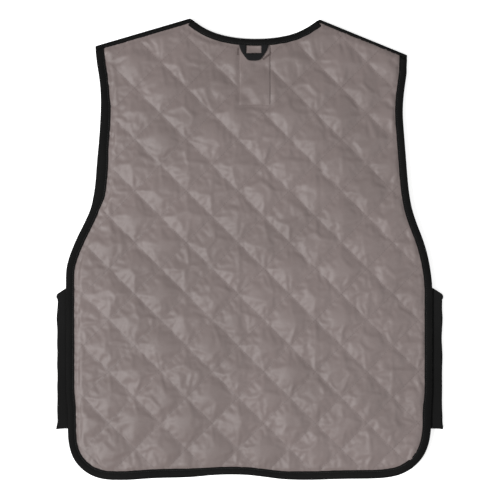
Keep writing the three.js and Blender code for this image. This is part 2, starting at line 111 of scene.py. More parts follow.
# What shows of one stitch and its thread's width, for each kind of sewing
QUILT_STITCH = (2.5 * MM, 0.35 * MM)
TAPE_STITCH = (2.3 * MM, 0.4 * MM)
LOOP_STITCH = (3.6 * MM, 0.5 * MM)
LOOP_STITCH_PITCH = 0.8 * MM
# Rows of brown stitches beside the hang loop, in millimetres
LOOP_STITCHES = (
    ((-16.7, 280.8), (-16.9, 276.0), (-16.6, 271.0)),
    ((29.0, 280.8), (30.0, 273.4), (23.5, 269.1), (19.3, 264.7)),
)


def smoothstep(low: float, high: float, value: float) -> float:
    """Rises smoothly from 0 to 1.

    Args:
        low: value where the rise starts.
        high: value where it ends.
        value: where to read it.

    Returns:
        The share of the rise.
    """
    share = min(1.0, max(0.0, (value - low) / (high - low)))
    return share * share * (3 - 2 * share)


def ripple(x: float, y: float, size: float, seed: float = 0.0) -> float:
    """Reads smooth noise on the plane.

    Args:
        x: place across.
        y: place along.
        size: length of one ripple in metres.
        seed: picks another field.

    Returns:
        A value from about -1 to 1.
    """
    return noise.noise(Vector((x / size, y / size, seed)))


def quilt_place(x: float, y: float) -> tuple[float, float]:
    """Turns a place on the cloth into counts of stitch lines.

    Args:
        x: place across the vest.
        y: place along the vest.

    Returns:
        Lines passed along each diagonal; a whole number is on a stitch line.
    """
    across, along = x - QUILT_CROSSING.x, y - QUILT_CROSSING.y
    scale = math.sqrt(2) * QUILT_SPACING
    return (across + along) / scale, (along - across) / scale


def tape_shape(spot: Vector) -> tuple[float, float]:
    """Reads how the wide tape lies at one place of the back's edge.

    Args:
        spot: the place.

    Returns:
        The tape's width on top, and how far it reaches past the cloth.
    """
    blur = 50
    shares = [((spot.x / MM - x) ** 2 + (spot.y / MM - y) ** 2 + blur) ** -2 for x, y, _, _ in TAPE_SHAPE]
    width, overhang = (
        sum(share * row[column] for share, row in zip(shares, TAPE_SHAPE)) / sum(shares) for column in (2, 3)
    )
    return width * MM, overhang * MM


class Chance(Enum):
    """What chance decides about the quilting."""

    FACES = "faces"
    FOLDS = "folds"


@dataclass
class Diamonds:
    """Relief of the quilting, where each diamond has its own slightly uneven faces and folds."""

    seed: str
    height: float
    fullness: float = 1.35
    uneven: float = 0.5
    fold_height: float = 1.8 * MM
    folds_each: int = 3
    fold_angles: tuple[float, float] = (14, 76)
    fold_factors: tuple[float, float] = (-0.7, 1.0)
    fold_widths: tuple[float, float] = (6, 13)
    fold_reaches: tuple[float, float] = (0.3, 0.7)
    fold_start: float = 6 * MM
    drawn: dict[tuple[int, int, Chance], list[tuple[float, ...]]] = field(default_factory=dict)

    def draw(self, u: int, v: int, what: Chance) -> list[tuple[float, ...]]:
        """Draws the chances of one diamond or one crossing once and keeps them.

        Args:
            u: count along one diagonal.
            v: count along the other.
            what: the faces of a diamond or the folds of a crossing.

        Returns:
            Four face factors, or for each quarter turn its folds' angle, height, width and reach.
        """
        key = (u, v, what)
        if key not in self.drawn:
            chance = random.Random(f"{self.seed} {u} {v} {what.value}")
            if what is Chance.FACES:
                self.drawn[key] = [tuple(1 + self.uneven * chance.uniform(-1, 1) for _ in range(4))]
            else:
                self.drawn[key] = [
                    (
                        math.radians(90 * quarter + chance.uniform(*self.fold_angles)),
                        self.fold_height * chance.uniform(*self.fold_factors),
                        math.radians(chance.uniform(*self.fold_widths)),
                        QUILT_SPACING * chance.uniform(*self.fold_reaches),
                    )
                    for quarter in range(4)
                    for _ in range(self.folds_each)
                ]
        return self.drawn[key]

    def rise(self, x: float, y: float) -> float:
        """Height over the stitch lines at a place on the cloth.

        Args:
            x: place across the vest.
            y: place along the vest.

        Returns:
            The height in metres, 0 on a stitch line.
        """
        u, v = quilt_place(x, y)
        low_u, low_v = math.floor(u), math.floor(v)
        part_u, part_v = u - low_u, v - low_v
        factors = self.draw(low_u, low_v, Chance.FACES)[0]
        sides = (part_u, 1 - part_u, part_v, 1 - part_v)
        near = min(1.0, *(2 * factor * side for factor, side in zip(factors, sides)))
        height = self.height * (1 - (1 - near) ** self.fullness)
        free = min(1.0, 8 * min(sides))
        for step_u in (0, 1):
            for step_v in (0, 1):
                away = Vector((part_u - step_u, part_v - step_v)) * QUILT_SPACING
                turn = math.atan2(away.y, away.x) % math.tau
                for angle, fold, width, reach in self.draw(low_u + step_u, low_v + step_v, Chance.FOLDS):
                    crest = 1 - abs(turn - angle) / width
                    if crest > 0:
                        fade = smoothstep(0, self.fold_start, away.length)
                        fade *= 1 - smoothstep(0.3 * reach, reach, away.length)
                        height += fold * crest * fade * free
        return height


class Relief:
    """Heights of one CAD node, read by rays straight down and straight up."""

    def __init__(self, node: str) -> None:
        """Builds the search tree.

        Args:
            node: name of the CAD node.
        """
        mesh = bmesh.new()
        mesh.from_mesh(frame["nodes"][node].data)
        self.tree = BVHTree.FromBMesh(mesh)
        mesh.free()

    def read(self, x: float, y: float, start: float) -> float | None:
        """Height where a ray from start first meets the node, or None where it misses."""
        hit = self.tree.ray_cast(Vector((x, y, start)), Vector((0, 0, -start)))[0]
        return None if hit is None else hit.z

    def top(self, x: float, y: float) -> float | None:
        """Height of the upper side, or None beside the node."""
        return self.read(x, y, 1.0)

    def underside(self, x: float, y: float) -> float | None:
        """Height of the lower side, or None beside the node."""
        return self.read(x, y, -1.0)


def even_run(points: Sequence[Vector], step: float, passes: int) -> list[Vector]:
    """Respaces an open run of points and rounds off its facets.

    Args:
        points: the run, end to end.
        step: wanted distance between points.
        passes: how often each point moves towards its neighbours' middle.

    Returns:
        New points with the same two ends.
    """
    marks = [0.0]
    for before, after in zip(points, points[1:]):
        marks.append(marks[-1] + (after - before).length)
    count = max(2, round(marks[-1] / step))
    run, place = [], 0
    for index in range(count + 1):
        at = marks[-1] * index / count
        while place < len(marks) - 2 and marks[place + 1] < at:
            place += 1
        gap = marks[place + 1] - marks[place]
        run.append(points[place].lerp(points[place + 1], (at - marks[place]) / gap if gap else 0))
    for _ in range(passes):
        inner = [(a + 2 * b + c) / 4 for a, b, c in zip(run, run[1:], run[2:])]
        run = [run[0], *inner, run[-1]]
    return run


def outward(run: Sequence[Vector], index: int) -> Vector:
    """Direction out of the cloth at one point of a counter-clockwise run."""
    along = run[min(index + 1, len(run) - 1)] - run[max(index - 1, 0)]
    return Vector((along.y, -along.x)).normalized()


class Outline:
    """The closed edge of a panel, counter-clockwise, in even steps."""

    wall_tilt = 0.05
    corner_turn = math.radians(30)
    passes = 12

    def __init__(self, node: str, centre: Vector) -> None:
        """Reads the edge from a CAD panel's upright walls.

        Args:
            node: name of the CAD panel.
            centre: a point that sees the whole edge.
        """
        mesh = frame["nodes"][node].data
        found = {}
        for face in mesh.polygons:
            if abs(face.normal.z) < self.wall_tilt:
                for index in face.vertices:
                    spot = mesh.vertices[index].co.to_2d()
                    found[(round(spot.x, 5), round(spot.y, 5))] = spot
        loop = sorted(found.values(), key=lambda p: math.atan2(p.y - centre.y, p.x - centre.x))
        corners = [i for i in range(len(loop)) if self.turn(loop, i) > self.corner_turn]
        self.points: list[Vector] = []
        for start, end in zip(corners, corners[1:] + [corners[0] + len(loop)]):
            side = [loop[i % len(loop)] for i in range(start, end + 1)]
            self.points += even_run(side, OUTLINE_STEP, self.passes)[:-1]
        self.tree = KDTree(len(self.points))
        for index, spot in enumerate(self.points):
            self.tree.insert(spot.to_3d(), index)
        self.tree.balance()

    @staticmethod
    def turn(loop: Sequence[Vector], index: int) -> float:
        """Angle by which the loop bends at one of its points."""
        spot = loop[index]
        return (spot - loop[index - 1]).angle(loop[(index + 1) % len(loop)] - spot, 0.0)

    def foot(self, x: float, y: float) -> Vector:
        """Finds the point of the edge that is nearest to a place.

        Args:
            x: place across the vest.
            y: place along the vest.

        Returns:
            The point.
        """
        spot = Vector((x, y))
        index = self.tree.find(spot.to_3d())[1]
        best = self.points[index]
        for other in (self.points[index - 1], self.points[(index + 1) % len(self.points)]):
            along = other - self.points[index]
            share = min(1.0, max(0.0, (spot - self.points[index]).dot(along) / along.length_squared))
            reached = self.points[index] + along * share
            if (reached - spot).length < (best - spot).length:
                best = reached
        return best

    def distance(self, x: float, y: float) -> float:
        """Distance from a place to the edge."""
        return (self.foot(x, y) - Vector((x, y))).length

    def run(self, start: Vector, end: Vector) -> list[Vector]:
        """Takes the counter-clockwise part of the edge between two places.

        Args:
            start: place near its first point.
            end: place near its last point.

        Returns:
            The points of that part.
        """
        first = self.tree.find(start.to_3d())[1]
        count = (self.tree.find(end.to_3d())[1] - first) % len(self.points)
        return [self.points[(first + i) % len(self.points)] for i in range(count + 1)]


def corner(node: str, side: int, top: int) -> Vector:
    """One corner of a CAD node's box in plan.

    Args:
        node: name of the CAD node.
        side: 0 for the left edge, 1 for the right one.
        top: 0 for the lower edge, 1 for the upper one.

    Returns:
        The corner.
    """
    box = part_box(node)
    return Vector((box[side][0], box[top][1]))


@dataclass(frozen=True)
class Swelling:
    """How padded cloth swells and creases between its stitches."""

    growth: float = 0.022
    pressure: float = 3.0
    bending: float = 0.12
    stretching: float = 20
    shearing: float = 4
    damping: float = 2
    mass: float = 0.05
    quality: int = 6
    frames: int = 20
    reach: float = 3 * MM


def settle(piece: bpy.types.Object, pins: Sequence[int], swelling: Swelling) -> None:
    """Lets a sheet swell and crease as cloth, and keeps the result in its mesh.

    Args:
        piece: the sheet.
        pins: indexes of the points that are sewn down.
        swelling: how much longer, fuller and stiffer the cloth is.
    """
    group = piece.vertex_groups.new(name="sewn")
    group.add(list(pins), 1.0, "REPLACE")
    cloth = piece.modifiers.new("cloth", "CLOTH")
    cloth.settings.quality = swelling.quality
    cloth.settings.mass = swelling.mass
    cloth.settings.tension_stiffness = cloth.settings.compression_stiffness = swelling.stretching
    cloth.settings.shear_stiffness = swelling.shearing
    cloth.settings.bending_stiffness = swelling.bending
    cloth.settings.tension_damping = cloth.settings.air_damping = swelling.damping
    cloth.settings.vertex_group_mass = group.name
    cloth.settings.shrink_min = -swelling.growth
    cloth.settings.use_pressure = True
    cloth.settings.uniform_pressure_force = swelling.pressure
    cloth.settings.effector_weights.gravity = 0
    cloth.collision_settings.use_collision = False
    cloth.point_cache.frame_start, cloth.point_cache.frame_end = 1, swelling.frames
    scene = bpy.context.scene
    for number in range(1, swelling.frames + 1):
        scene.frame_set(number)
    swollen = piece.evaluated_get(bpy.context.evaluated_depsgraph_get()).data
    moves = [b.co - a.co for a, b in zip(piece.data.vertices, swollen.vertices)]
    piece.modifiers.remove(cloth)
    piece.vertex_groups.remove(group)
    scene.frame_set(1)
    for vert, move in zip(piece.data.vertices, moves):
        if move.length > swelling.reach:
            move *= swelling.reach / move.length
        vert.co += move


def make_piece(
    name: str, mesh: bmesh.types.BMesh, material: bpy.types.Material
) -> bpy.types.Object:
    """Turns a bmesh into a finished object that goes with the vest.

    Args:
        name: the piece's name.
        mesh: its shape, freed here.
        material: its finish.

    Returns:
        The object.
    """
    data = bpy.data.meshes.new(name)
    mesh.to_mesh(data)
    mesh.free()
    data.materials.append(material)
    data.shade_smooth()
    piece = bpy.data.objects.new(name, data)
    bpy.context.scene.collection.objects.link(piece)
    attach(piece, "root")
    return piece


def sweep(
    stations: int, ring: int, place: Callable[[int, int], Vector], pitch: tuple[float, float]
) -> bmesh.types.BMesh:
    """Wraps a grid round a run, as a closed tube with capped ends.

    Args:
        stations: number of places along the run.
        ring: number of points round the profile.
        place: gives the point for a station and a profile point.
        pitch: real size of one grid cell, for the pattern that follows the tape.

    Returns:
        The tube.
    """
    mesh = bmesh.new()
    bmesh.ops.create_grid(mesh, x_segments=stations - 1, y_segments=ring, size=1)
    follow = mesh.loops.layers.uv.new("cloth")
    spots = {
        v: (round((v.co.x + 1) / 2 * (stations - 1)), round((v.co.y + 1) / 2 * ring)) for v in mesh.verts
    }
    for face in mesh.faces:
        for loop in face.loops:
            station, point = spots[loop.vert]
            loop[follow].uv = (station * pitch[0], point * pitch[1])
    for vert, (station, point) in spots.items():
        vert.co = place(station, point % ring)
    bmesh.ops.remove_doubles(mesh, verts=mesh.verts, dist=1e-7)
    rims = [edge for edge in mesh.edges if edge.is_boundary]
    caps = bmesh.ops.holes_fill(mesh, edges=rims, sides=0)["faces"]
    bmesh.ops.triangulate(mesh, faces=caps)
    bmesh.ops.recalc_face_normals(mesh, faces=mesh.faces)
    return mesh


def thicken(mesh: bmesh.types.BMesh) -> set[bmesh.types.BMVert]:
    """Doubles an open sheet and joins both sheets at their edge.

    Args:
        mesh: the sheet.

    Returns:
        The points of the new sheet, still in the place of the old one.
    """
    made = bmesh.ops.extrude_face_region(mesh, geom=mesh.faces[:], use_keep_orig=True)["geom"]
    return {element for element in made if isinstance(element, bmesh.types.BMVert)}


class Threads:
    """Sewing thread, as many short stitches in one mesh."""

    def __init__(self, length: float, width: float) -> None:
        """Makes the one stitch that is repeated.

        Args:
            length: what shows of one stitch.
            width: thickness of the thread.
        """
        pattern = bmesh.new()
        bmesh.ops.create_uvsphere(pattern, u_segments=4, v_segments=3, radius=0.5)
        bmesh.ops.scale(pattern, vec=(width, width, length), verts=pattern.verts)
        self.pattern = bpy.data.meshes.new("stitch")
        pattern.to_mesh(self.pattern)
        pattern.free()
        self.rest = [c for v in self.pattern.vertices for c in v.co]
        self.mesh = bmesh.new()

    def sew(self, spot: Vector, along: Vector) -> None:
        """Adds one stitch.

        Args:
            spot: its middle.
            along: the way it lies.
        """
        turn = along.to_track_quat("Z", "Y").to_matrix().to_4x4()
        self.pattern.vertices.foreach_set("co", self.rest)
        self.pattern.transform(Matrix.Translation(spot) @ turn)
        self.mesh.from_mesh(self.pattern)

    def finish(self, name: str, material: bpy.types.Material, slot: str) -> bpy.types.Object:
        """Makes the piece out of all the stitches.

        Args:
            name: the piece's name.
            material: finish of the thread.
            slot: the record's material slot; not used.

        Returns:
            The piece.
        """
        bpy.data.meshes.remove(self.pattern)
        return make_piece(name, self.mesh, material)


class NodeMaker:
    """A shader node tree, filled node by node."""

    def __init__(self, tree: bpy.types.NodeTree) -> None:
        """Takes the tree to fill."""
        self.tree = tree

    def node(self, kind: str, **values: object) -> bpy.types.Node:
        """Adds a node.

        Args:
            kind: its type.
            **values: attributes of the node, or values or links of its inputs, an underscore for a space.

        Returns:
            The node.
        """
        made = self.tree.nodes.new(kind)
        for key, value in values.items():
            if hasattr(made, key):
                setattr(made, key, value)
            elif isinstance(value, bpy.types.NodeSocket):
                self.link(value, made.inputs[key.replace("_", " ")])
            else:
                made.inputs[key.replace("_", " ")].default_value = value
        return made

    def link(self, source: bpy.types.NodeSocket, target: bpy.types.NodeSocket) -> None:
        """Joins an output to an input."""
        self.tree.links.new(source, target)


class Shader(NodeMaker):
    """A material with its Principled shader."""

    def __init__(self, name: str) -> None:
        """Starts the material.

        Args:
            name: the material's name.
        """
        self.material = bpy.data.materials.new(name)
        self.material.use_nodes = True
        super().__init__(self.material.node_tree)
        self.surface = self.tree.nodes["Principled BSDF"]


class Group(NodeMaker):
    """A shader node group with number sockets and a Vector input."""

    def __init__(self, name: str, inputs: dict[str, float], outputs: Sequence[str]) -> None:
        """Starts the group with its two end nodes.

        Args:
            name: the group's name.
            inputs: names and usual values of its number inputs.
            outputs: names of its number outputs.
        """
        super().__init__(bpy.data.node_groups.new(name, "ShaderNodeTree"))
        sockets = self.tree.interface
        sockets.new_socket("Vector", in_out="INPUT", socket_type="NodeSocketVector")
        for key, value in inputs.items():
            sockets.new_socket(key, in_out="INPUT", socket_type="NodeSocketFloat").default_value = value
        for key in outputs:
            sockets.new_socket(key, in_out="OUTPUT", socket_type="NodeSocketFloat")
        self.start, self.end = self.node("NodeGroupInput"), self.node("NodeGroupOutput")

    def compute(self, operation: str, first: bpy.types.NodeSocket, second: object) -> bpy.types.NodeSocket:
        """Adds a math node.

        Args:
            operation: what it does.
            first: its first input.
            second: its second input, another output or a number.

        Returns:
            Its output.
        """
        made = self.node("ShaderNodeMath", operation=operation)
        self.link(first, made.inputs[0])
        if isinstance(second, bpy.types.NodeSocket):
            self.link(second, made.inputs[1])
        else:
            made.inputs[1].default_value = second
        return made.outputs[0]


def weave_group() -> bpy.types.NodeTree:
    """Makes fine woven threads, with a height and a mask of thicker threads.

    Returns:
        The group.
    """
    group = Group("woven threads", {"Pitch": 2200.0}, ["Height", "Slub"])
    start, end = group.start.outputs, group.end.inputs
    waves = []
    for direction in ("X", "Y"):
        wave = group.node(
            "ShaderNodeTexWave",
            bands_direction=direction,
            Distortion=0.6,
            Vector=start["Vector"],
            Scale=start["Pitch"],
        )
        waves.append(wave.outputs["Fac"])
    group.link(group.compute("MAXIMUM", *waves), end["Height"])
    slub = group.node("ShaderNodeTexNoise", Scale=900, Vector=start["Vector"])
    group.link(slub.outputs["Fac"], end["Slub"])
    return group.tree


def stitch_shade_group() -> bpy.types.NodeTree:
    """Makes masks of the diamonds' thin stitch lines and the needle holes along them, where shade is painted
    into the cloth's colour.

    Returns:
        The group.
    """
    group = Group("stitch lines", {"Line Width": 0.014, "Hole Size": 0.22}, ["Line", "Hole"])
    start, end = group.start.outputs, group.end.inputs
    wander = group.node("ShaderNodeTexNoise", Scale=60, Vector=start["Vector"])
    shift = group.node("ShaderNodeVectorMath", operation="MULTIPLY_ADD")
    shift.inputs[1].default_value = (1 * MM, 1 * MM, 0)
    group.link(wander.outputs["Color"], shift.inputs[0])
    group.link(start["Vector"], shift.inputs[2])
    turned = group.node(
        "ShaderNodeMapping",
        vector_type="TEXTURE",
        Location=(QUILT_CROSSING.x + 0.5 * MM, QUILT_CROSSING.y + 0.5 * MM, 0),
        Rotation=(0, 0, math.radians(45)),
        Scale=(QUILT_SPACING, QUILT_SPACING, 1),
        Vector=shift.outputs[0],
    )
    split = group.node("ShaderNodeSeparateXYZ", Vector=turned.outputs[0])
    u, v = (group.compute("PINGPONG", split.outputs[axis], 0.5) for axis in (0, 1))
    near = group.compute("MINIMUM", u, v)
    line = group.node("ShaderNodeMapRange", To_Min=1, To_Max=0, Value=near, From_Max=start["Line Width"])
    skip = group.node("ShaderNodeTexNoise", Scale=45, Vector=start["Vector"])
    shown = group.node(
        "ShaderNodeMapRange", From_Min=0.35, From_Max=0.65, To_Min=0.25, Value=skip.outputs["Fac"]
    )
    group.link(group.compute("MULTIPLY", line.outputs[0], shown.outputs[0]), end["Line"])
    count = group.compute("MULTIPLY", group.compute("MAXIMUM", u, v), float(STITCHES_PER_DIAMOND))
    beat = group.compute("PINGPONG", count, 0.5)
    hole = group.node("ShaderNodeMapRange", To_Min=1, To_Max=0, Value=beat, From_Max=start["Hole Size"])
    group.link(group.compute("MULTIPLY", hole.outputs[0], line.outputs[0]), end["Hole"])
    return group.tree


def wear_group() -> bpy.types.NodeTree:
    """Makes the soft cloudy change of tone of handled cloth.

    Returns:
        The group.
    """
    group = Group("handling", {"Cloud Scale": 9.0}, ["Cloud"])
    start = group.start.outputs
    cloud = group.node("ShaderNodeTexNoise", Detail=4.0, Vector=start["Vector"], Scale=start["Cloud Scale"])
    group.link(cloud.outputs["Fac"], group.end.inputs["Cloud"])
    return group.tree


@dataclass(frozen=True)
class ClothFinish:
    """A woven, knitted or taped cloth; one with ribs follows its own run."""

    name: str
    colour: tuple[float, float, float]
    shade: tuple[float, float, float]
    roughness: float
    sheen: float
    gloss: float = 0.4
    rib_pitch: float = 0.0
    quilted: bool = False
    pitch: float = 2200.0
    weave_height: float = 0.05 * MM
    rib_height: float = 0.15 * MM
    cloud: float = 0.1
    uneven_gloss: float = 0.06

    def make(
        self, weave: bpy.types.NodeTree, wear: bpy.types.NodeTree, stitches: bpy.types.NodeTree
    ) -> bpy.types.Material:
        """Builds the material.

        Args:
            weave: the group of woven threads.
            wear: the group of handling marks.
            stitches: the group of stitch-line masks for the painted shade.

        Returns:
            The material.
        """
        shader = Shader(self.name)
        surface = shader.surface.inputs
        place = shader.node("ShaderNodeTexCoord").outputs["UV" if self.rib_pitch else "Object"]
        threads = shader.node("ShaderNodeGroup", node_tree=weave, Pitch=self.pitch, Vector=place)
        handling = shader.node("ShaderNodeGroup", node_tree=wear, Vector=place)
        spread = shader.node(
            "ShaderNodeMapRange",
            From_Min=0.5 - self.cloud,
            From_Max=0.5 + self.cloud,
            Value=handling.outputs["Cloud"],
        )
        tone = shader.node(
            "ShaderNodeMix",
            data_type="RGBA",
            A=(*self.shade, 1),
            B=(*self.colour, 1),
            Factor=spread.outputs["Result"],
        )
        colour = tone.outputs["Result"]
        # painted shade along the stitch lines and in their needle holes
        if self.quilted:
            colour = self.paint_stitch_shade(shader, stitches, place, colour)
        shader.link(colour, surface["Base Color"])
        gloss = shader.node(
            "ShaderNodeMapRange",
            To_Min=self.roughness - self.uneven_gloss,
            To_Max=self.roughness + self.uneven_gloss,
            Value=threads.outputs["Slub"],
        )
        shader.link(gloss.outputs["Result"], surface["Roughness"])
        surface["Sheen Weight"].default_value = self.sheen
        surface["Sheen Roughness"].default_value = 0.4
        surface["Specular IOR Level"].default_value = self.gloss
        bump = shader.node(
            "ShaderNodeBump", Distance=self.weave_height, Strength=0.6, Height=threads.outputs["Height"]
        )
        if self.rib_pitch:
            ribs = shader.node(
                "ShaderNodeTexWave", bands_direction="X", Scale=self.rib_pitch, Distortion=0.3, Vector=place
            )
            bump = shader.node(
                "ShaderNodeBump",
                Distance=self.rib_height,
                Strength=0.7,
                Height=ribs.outputs["Fac"],
                Normal=bump.outputs["Normal"],
            )
        shader.link(bump.outputs["Normal"], surface["Normal"])
        return shader.material

    def paint_stitch_shade(
        self,
        shader: Shader,
        stitches: bpy.types.NodeTree,
        place: bpy.types.NodeSocket,
        colour: bpy.types.NodeSocket,
    ) -> bpy.types.NodeSocket:
        """Paints shade into the colour along the stitch lines' valleys and in their needle holes where the
        cloth is quilted.

        Args:
            shader: the material being built.
            stitches: the group of stitch lines.
            place: coordinates of the cloth.
            colour: the cloth's colour so far.

        Returns:
            The new colour.
        """
        lines = shader.node("ShaderNodeGroup", node_tree=stitches, Vector=place)
        quilted = shader.node("ShaderNodeAttribute", attribute_name="quilted")
        # Painted shade: the stitch valleys and needle holes are darkened in the colour, standing in for the
        # shade that falls in them
        for output, stitch_shade_tint in (("Line", (0.76, 0.75, 0.75, 1)), ("Hole", (0.7, 0.68, 0.68, 1))):
            mask = shader.node("ShaderNodeMath", operation="MULTIPLY")
            shader.link(lines.outputs[output], mask.inputs[0])
            shader.link(quilted.outputs["Fac"], mask.inputs[1])
            painted_shade = shader.node(
                "ShaderNodeMix",
                data_type="RGBA",
                blend_type="MULTIPLY",
                A=colour,
                B=stitch_shade_tint,
                Factor=mask.outputs[0],
            )
            colour = painted_shade.outputs["Result"]
        return colour


@dataclass
class QuiltedPanel:
    """Padded cloth, sewn through in diamonds."""

    name: str
    node: str
    centre: Vector
    diamonds: Diamonds
    edge_core: float = 2.2 * MM
    seam_fill: float = 0.8 * MM
    lining_lift: float = 0.5 * MM
    lining_sag: float = 0.4
    puff_reach: float = 6 * MM
    side_seam: float = 5.5 * MM
    seam_width: float = 1.3 * MM
    seam_depth: float = 0.35 * MM
    shoulder_tip: float = 10 * MM
    patch_fade: tuple[float, float] = (-2 * MM, 8 * MM)
    pucker: float = 2.0 * MM
    pucker_size: float = 4.5 * MM
    pucker_rise: tuple[float, float] = (0.4 * MM, 3 * MM)
    pucker_fall: tuple[float, float] = (10 * MM, 4 * MM)
    cells: int = 20
    rim: float = 2 * MM
    hem_inset: float = 0.7 * MM
    passes: int = 10
    swelling: Swelling = Swelling()
    pressed_at: tuple[Vector, Vector] | None = None
    crease_x: float | None = None
    crease_depth: float = 0.4 * MM
    crease_width: float = 2 * MM
    outline: Outline = field(init=False)
    relief: Relief = field(init=False)
    shoulders: dict[str, tuple[Vector, Vector]] = field(init=False)

    def __post_init__(self) -> None:
        """Reads the CAD panel."""
        self.outline = Outline(self.node, self.centre)
        self.relief = Relief(self.node)
        self.shoulders = {side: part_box(f"shoulder_tape_{side}") for side in SHOULDER_WIDTHS}

    def taped(self, foot: Vector) -> float:
        """Width of the cloth that the tape hides at one point of the edge."""
        width, overhang = tape_shape(foot)
        return width - overhang - TAPE_LAP

    def edge_place(self, x: float, y: float) -> tuple[float, float]:
        """Place on the cloth as seen from its taped edge.

        Args:
            x: place across the vest.
            y: place along the vest.

        Returns:
            Distance from the tape's inner edge, and 1 where that edge is upright, down to 0 at the hem.
        """
        foot = self.outline.foot(x, y)
        inward = Vector((x, y)) - foot
        tip = self.shoulder_tip
        on_shoulder, hidden = False, self.taped(foot)
        for side, (low, high) in self.shoulders.items():
            if low[0] + tip < foot.x < high[0] - tip and foot.y > low[1]:
                on_shoulder, hidden = True, SHOULDER_WIDTHS[side] - TAPE_OVERHANG
        upright = 0.0 if on_shoulder or foot.x > 0 or inward.length == 0 else inward.normalized().x ** 2
        return inward.length - hidden, upright

    def seam_strength(self, x: float, y: float) -> float:
        """Share of the quilting's full depth at a place, less towards the edge and under the patch.

        Args:
            x: place across the vest.
            y: place along the vest.

        Returns:
            The share, from 0 to 1.
        """
        bare, upright = self.edge_place(x, y)
        start = upright * self.side_seam
        strength = smoothstep(start, start + self.puff_reach, bare)
        if self.pressed_at:
            low, high = self.pressed_at
            beyond = max(low.x - x, x - high.x, low.y - y, y - high.y)
            strength *= smoothstep(*self.patch_fade, beyond)
        return strength

    def lay_sheet(self) -> bmesh.types.BMesh:
        """Lays a diamond grid over the panel's plan at the height of its core.

        Returns:
            The sheet, with each point's number in the layer "number".
        """
        mesh = bmesh.new()
        cells = 2 * QUILT_REACH * self.cells
        bmesh.ops.create_grid(mesh, x_segments=cells, y_segments=cells, size=QUILT_REACH * QUILT_SPACING)
        turn = Matrix.Rotation(math.radians(45), 3, "Z")
        bmesh.ops.rotate(mesh, cent=(0, 0, 0), matrix=turn, verts=mesh.verts)
        bmesh.ops.translate(mesh, vec=QUILT_CROSSING.to_3d(), verts=mesh.verts)
        outside = []
        for vert in mesh.verts:
            height = self.relief.underside(vert.co.x, vert.co.y)
            if height is None or self.outline.distance(vert.co.x, vert.co.y) < self.rim:
                outside.append(vert)
            else:
                vert.co.z = height
        bmesh.ops.delete(mesh, geom=outside, context="VERTS")
        while stray := [v for v in mesh.verts if len(v.link_faces) == 0 or self.pinched(v)]:
            bmesh.ops.delete(mesh, geom=stray, context="VERTS")
        for vert in (v for v in mesh.verts if v.is_boundary):
            foot = self.outline.foot(vert.co.x, vert.co.y)
            inward = (vert.co.to_2d() - foot).normalized()
            vert.co.xy = foot + inward * self.hem_inset
        for _ in range(self.passes):
            bmesh.ops.smooth_vert(mesh, verts=mesh.verts, factor=0.5, use_axis_z=True)
        number = mesh.verts.layers.int.new("number")
        for index, vert in enumerate(mesh.verts):
            vert[number] = index
        return mesh

    @staticmethod
    def pinched(vert: bmesh.types.BMVert) -> bool:
        """Whether two parts of the sheet's edge touch at this point."""
        return sum(edge.is_boundary for edge in vert.link_edges) > 2

    def outer_sheet(self, sheet: bmesh.types.BMesh) -> list[Vector]:
        """Puffs the outer side and lets it crease.

        Args:
            sheet: the panel's plan at core height.

        Returns:
            The outer side's points, in the sheet's order.
        """
        outer = sheet.copy()
        pins = []
        for vert in outer.verts:
            x, y, low = vert.co
            strength = self.seam_strength(x, y)
            rise = self.diamonds.rise(x, y) * strength
            vert.co.z = low + self.edge_core + self.seam_fill * strength + rise
            on_line = any(round(share * self.cells) % self.cells == 0 for share in quilt_place(x, y))
            bare, upright = self.edge_place(x, y)
            on_seam = upright > 0.5 and abs(bare - self.side_seam) < self.seam_width
            if on_seam:
                vert.co.z -= self.seam_depth
            if on_line or on_seam or bare < 0:
                pins.append(vert.index)
        data = bpy.data.meshes.new("swelling cloth")
        outer.to_mesh(data)
        outer.free()
        cloth = bpy.data.objects.new("swelling cloth", data)
        bpy.context.scene.collection.objects.link(cloth)
        settle(cloth, pins, self.swelling)
        for vert in data.vertices:
            foot = self.outline.foot(vert.co.x, vert.co.y)
            bare = self.edge_place(vert.co.x, vert.co.y)[0]
            near = smoothstep(*self.pucker_rise, bare) * smoothstep(*self.pucker_fall, bare)
            vert.co.z += self.pucker * near * ripple(foot.x, foot.y, self.pucker_size, 3)
        points = [vert.co.copy() for vert in data.vertices]
        bpy.data.objects.remove(cloth)
        bpy.data.meshes.remove(data)
        return points

    def build(self, material: bpy.types.Material) -> bpy.types.Object:
        """Closes the sheet into a padded panel and replaces the CAD one.

        Args:
            material: the quilted cloth.

        Returns:
            The panel.
        """
        sheet = self.lay_sheet()
        outer = self.outer_sheet(sheet)
        number = sheet.verts.layers.int["number"]
        quilted = sheet.verts.layers.float.new("quilted")
        plan = [vert.co.copy() for vert in sheet.verts]
        raised = thicken(sheet)
        for vert in sheet.verts:
            x, y, low = plan[vert[number]]
            strength = self.seam_strength(x, y)
            if vert in raised:
                vert.co = outer[vert[number]]
                if self.crease_x is not None:
                    away = (x - self.crease_x) / self.crease_width
                    vert.co.z -= self.crease_depth * strength * math.exp(-(away**2))
            else:
                sag = self.lining_sag * self.diamonds.rise(x, y)
                vert.co.z = low + strength * (self.lining_lift - sag)
            vert[quilted] = strength
        bmesh.ops.recalc_face_normals(sheet, faces=sheet.faces)
        piece = make_piece(self.name, sheet, material)
        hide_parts(self.node)
        return piece


def search_tree(*pieces: bpy.types.Object) -> BVHTree:
    """Makes one search tree of finished pieces.

    Args:
        *pieces: the pieces.

    Returns:
        The tree.
    """
    both = bmesh.new()
    for piece in pieces:
        both.from_mesh(piece.data)
    tree = BVHTree.FromBMesh(both)
    both.free()
    return tree


